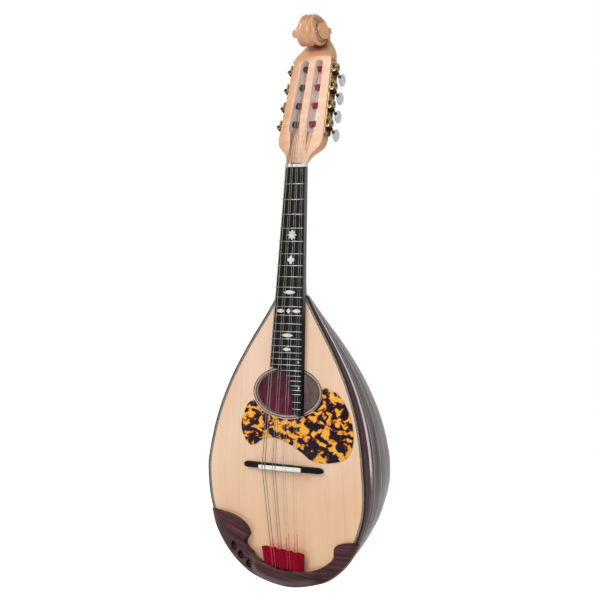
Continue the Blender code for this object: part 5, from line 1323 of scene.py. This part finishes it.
def make_cover():
    """Rosewood arm rest that wraps the tail: a rounded outer lip and two raised lobes with an arch between."""
    stations = cover_stations()
    edge = resampled(smooth_rows(COVER_EDGE, 8), len(stations))
    shares = (0.03, 0.08, 0.15, 0.24, 0.34, 0.46, 0.58, 0.7, 0.8, 0.88, 0.94, 0.98, 1.0)
    rings = []
    for ((x, z), (out_x, out_z)), (edge_x, edge_z) in zip(stations, edge):
        ring = []
        full = blend(COVER_LEFT_Z + 2.0, COVER_LEFT_Z - 22.0, z) if x < 0 else 1.0
        lip = 0.3 + (COVER_LIP - 0.3) * full
        for reach, back in ((1.4, lip), (1.75, lip - 0.5 * full), (1.8, lip - 1.5 * full), (1.8, -2.0), (1.5, -2.8), (0.9, -3.3)):
            reach = 0.6 + reach * full
            back *= 1.0 if back > 0.0 else 0.4 + 0.6 * full
            ring.append((x + out_x * reach, top_front(z) + back, z + out_z * reach))
        under = []
        for share in shares:
            at_x, at_z = x + (edge_x - x) * share, z + (edge_z - z) * share
            middle = 1.0 - blend(*COVER_ARCH_SIDES, abs(at_x))
            lobe = COVER_LOBE_HEIGHT if at_x < 0 else COVER_RIGHT_HEIGHT
            crown = lobe + (COVER_ARCH_HEIGHT - lobe) * middle
            rise = blend(-0.22, 0.5, share)
            if share > 0.88:
                rise -= 0.12 * ((share - 0.88) / 0.12) ** 2
            height = (COVER_EDGE_THICK + (crown - COVER_EDGE_THICK) * rise) * (0.4 + 0.6 * full)
            room = 0.3 + (COVER_ARCH_ROOM - 0.3) * middle * blend(-0.2, 0.6, share)
            ring.append((at_x, top_front(at_z) - height, at_z))
            under.append((at_x, top_front(at_z) - min(room, height * 0.75), at_z))
        ring += under[::-1]
        ring.append((x + out_x * 0.6, top_front(z) - 0.3, z + out_z * 0.6))
        ring.append((x + out_x * 0.6, top_front(z) + lip, z + out_z * 0.6))
        rings.append(ring)
    cover = piece("rosewood_arm_rest", *loft(rings), [COVER, DIMPLE_PAINTED_SHADE], smooth=45)
    for x, z, radius in DIMPLES:
        rings = []
        for y, share in ((-4.0, 1.06), (-0.6, 1.0), (2.5, 0.9), (4.0, 0.74), (4.8, 0.45)):
            rings.append([(radius * share * a * (1.0 - 0.18 * b), y, radius * share * 1.12 * b) for a, b in circle(1.0, 40)])
        # The dimples' walls take the darkened rosewood, painted shade in the holes.
        cut(cover, *loft(rings), matrix=Matrix.Translation((x, top_front(z) - COVER_LOBE_HEIGHT, z)), slot=1)
    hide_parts("tail_cover")


# Camera, light and backdrop
def make_camera():
    """The photograph's viewpoint, from the fit of the frets, outline and head."""
    azimuth, elevation, roll = math.radians(33.0), -0.0326887, 0.0466180
    view = Vector((-math.sin(azimuth) * math.cos(elevation), math.cos(azimuth) * math.cos(elevation), -math.sin(elevation)))
    right = Vector((math.cos(azimuth), math.sin(azimuth), 0.0))
    up = right.cross(view)
    side = right * math.cos(roll) + up * math.sin(roll)
    top = up * math.cos(roll) - right * math.sin(roll)
    data = bpy.data.cameras.new("photo_camera")
    data.sensor_width = 36.0
    data.lens = 1717.83 / 600 * 36.0
    camera = bpy.data.objects.new("photo_camera", data)
    bpy.context.scene.collection.objects.link(camera)
    turn = Matrix((side, top, -view)).transposed().to_4x4()
    turn.translation = Vector((1.04764, -1.59626, -0.20963))
    camera.matrix_world = turn
    bpy.context.scene.camera = camera


def area_light(name, place, target, size, power):
    data = bpy.data.lights.new(name, "AREA")
    data.shape = "RECTANGLE"
    data.size, data.size_y = size
    data.energy = power
    light = bpy.data.objects.new(name, data)
    bpy.context.scene.collection.objects.link(light)
    light.location = place
    light.rotation_euler = (Vector(target) - Vector(place)).to_track_quat("-Z", "Y").to_euler()


def white_ground():
    """Floor that shows white to the camera and in reflections, and lets the object's shadow darken it."""
    material = bpy.data.materials.new("white_ground")
    material.use_nodes = True
    tree = material.node_tree
    tree.nodes.clear()
    path = add(tree, "ShaderNodeLightPath")
    seen = add(tree, "ShaderNodeMath", {"operation": "MAXIMUM"}, {0: path.outputs["Is Camera Ray"], 1: path.outputs["Is Glossy Ray"]})
    seen = add(tree, "ShaderNodeMath", {"operation": "MAXIMUM"}, {0: seen.outputs["Value"], 1: path.outputs["Is Transmission Ray"]})
    paint = add(tree, "ShaderNodeBsdfDiffuse", links={"Color": (0.8, 0.8, 0.8, 1.0)})
    glow = add(tree, "ShaderNodeEmission", links={"Color": (1.0, 1.0, 1.0, 1.0), "Strength": 0.85})
    both = add(tree, "ShaderNodeAddShader")
    tree.links.new(paint.outputs[0], both.inputs[0])
    tree.links.new(glow.outputs[0], both.inputs[1])
    pick = add(tree, "ShaderNodeMixShader", links={"Fac": seen.outputs["Value"]})
    tree.links.new(paint.outputs[0], pick.inputs[1])
    tree.links.new(both.outputs[0], pick.inputs[2])
    output = add(tree, "ShaderNodeOutputMaterial")
    tree.links.new(pick.outputs[0], output.inputs["Surface"])
    return material


def make_stage():
    world = bpy.data.worlds.new("studio")
    bpy.context.scene.world = world
    world.use_nodes = True
    tree = world.node_tree
    tree.nodes.clear()
    path = add(tree, "ShaderNodeLightPath")
    seen = add(tree, "ShaderNodeMath", {"operation": "MAXIMUM"}, {0: path.outputs["Is Camera Ray"], 1: path.outputs["Is Glossy Ray"]})
    seen = add(tree, "ShaderNodeMath", {"operation": "MAXIMUM"}, {0: seen.outputs["Value"], 1: path.outputs["Is Transmission Ray"]})
    level = add(tree, "ShaderNodeMapRange", links={"Value": seen.outputs["Value"], "To Min": 0.4, "To Max": 1.0})
    sky = add(tree, "ShaderNodeBackground", links={"Color": (1.0, 1.0, 1.0, 1.0), "Strength": level.outputs["Result"]})
    output = add(tree, "ShaderNodeOutputWorld")
    tree.links.new(sky.outputs[0], output.inputs["Surface"])
    bpy.context.scene.view_settings.view_transform = "Standard"
    size = 6.0
    mesh = bpy.data.meshes.new("floor")
    mesh.from_pydata([(-size, -size, -0.62), (size, -size, -0.62), (size, size, -0.62), (-size, size, -0.62)], [], [(0, 1, 2, 3)])
    mesh.materials.append(white_ground())
    floor = bpy.data.objects.new("floor", mesh)
    bpy.context.scene.collection.objects.link(floor)
    area_light("key", (-1.5, -2.9, 1.9), (0.0, 0.0, -0.15), (1.5, 1.5), 49.0)
    area_light("fill", (1.6, -2.4, 0.4), (0.0, 0.0, -0.2), (0.8, 0.8), 18.0)
    area_light("inside", (0.02, 0.03, -0.25), (-0.05, 0.1, -0.26), (0.03, 0.03), 0.012)


def dress_nodes():
    """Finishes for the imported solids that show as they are."""
    finishes = {"fingerboard": EBONY, "nut": BONE, "tailpiece": GILT, "neck_block": MAPLE, "tail_block": MAPLE, "brace_upper": SPRUCE, "brace_lower": SPRUCE}
    for name, material in finishes.items():
        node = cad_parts[name]
        node.data.materials.clear()
        node.data.materials.append(material)


make_camera()
make_stage()
dress_nodes()
make_bowl()
make_top()
make_binding()
make_rosette()
make_pickguard()
make_frets()
make_inlays()
make_bridge()
make_neck()
make_head()
make_cover()
for side, order in ((1, (4, 5, 6, 7)), (-1, (3, 2, 1, 0))):
    make_plate("right" if side > 0 else "left", side)
    for index, height, lane in zip(order, TUNER_HEIGHTS, LANES[side]):
        name = STRING_NAMES[index]
        make_roller(name, height, side)
        make_worm(name, height, side)
        leave = make_winding(index, name, height, side, lane)
        make_string(index, name, leave)
make_felt()
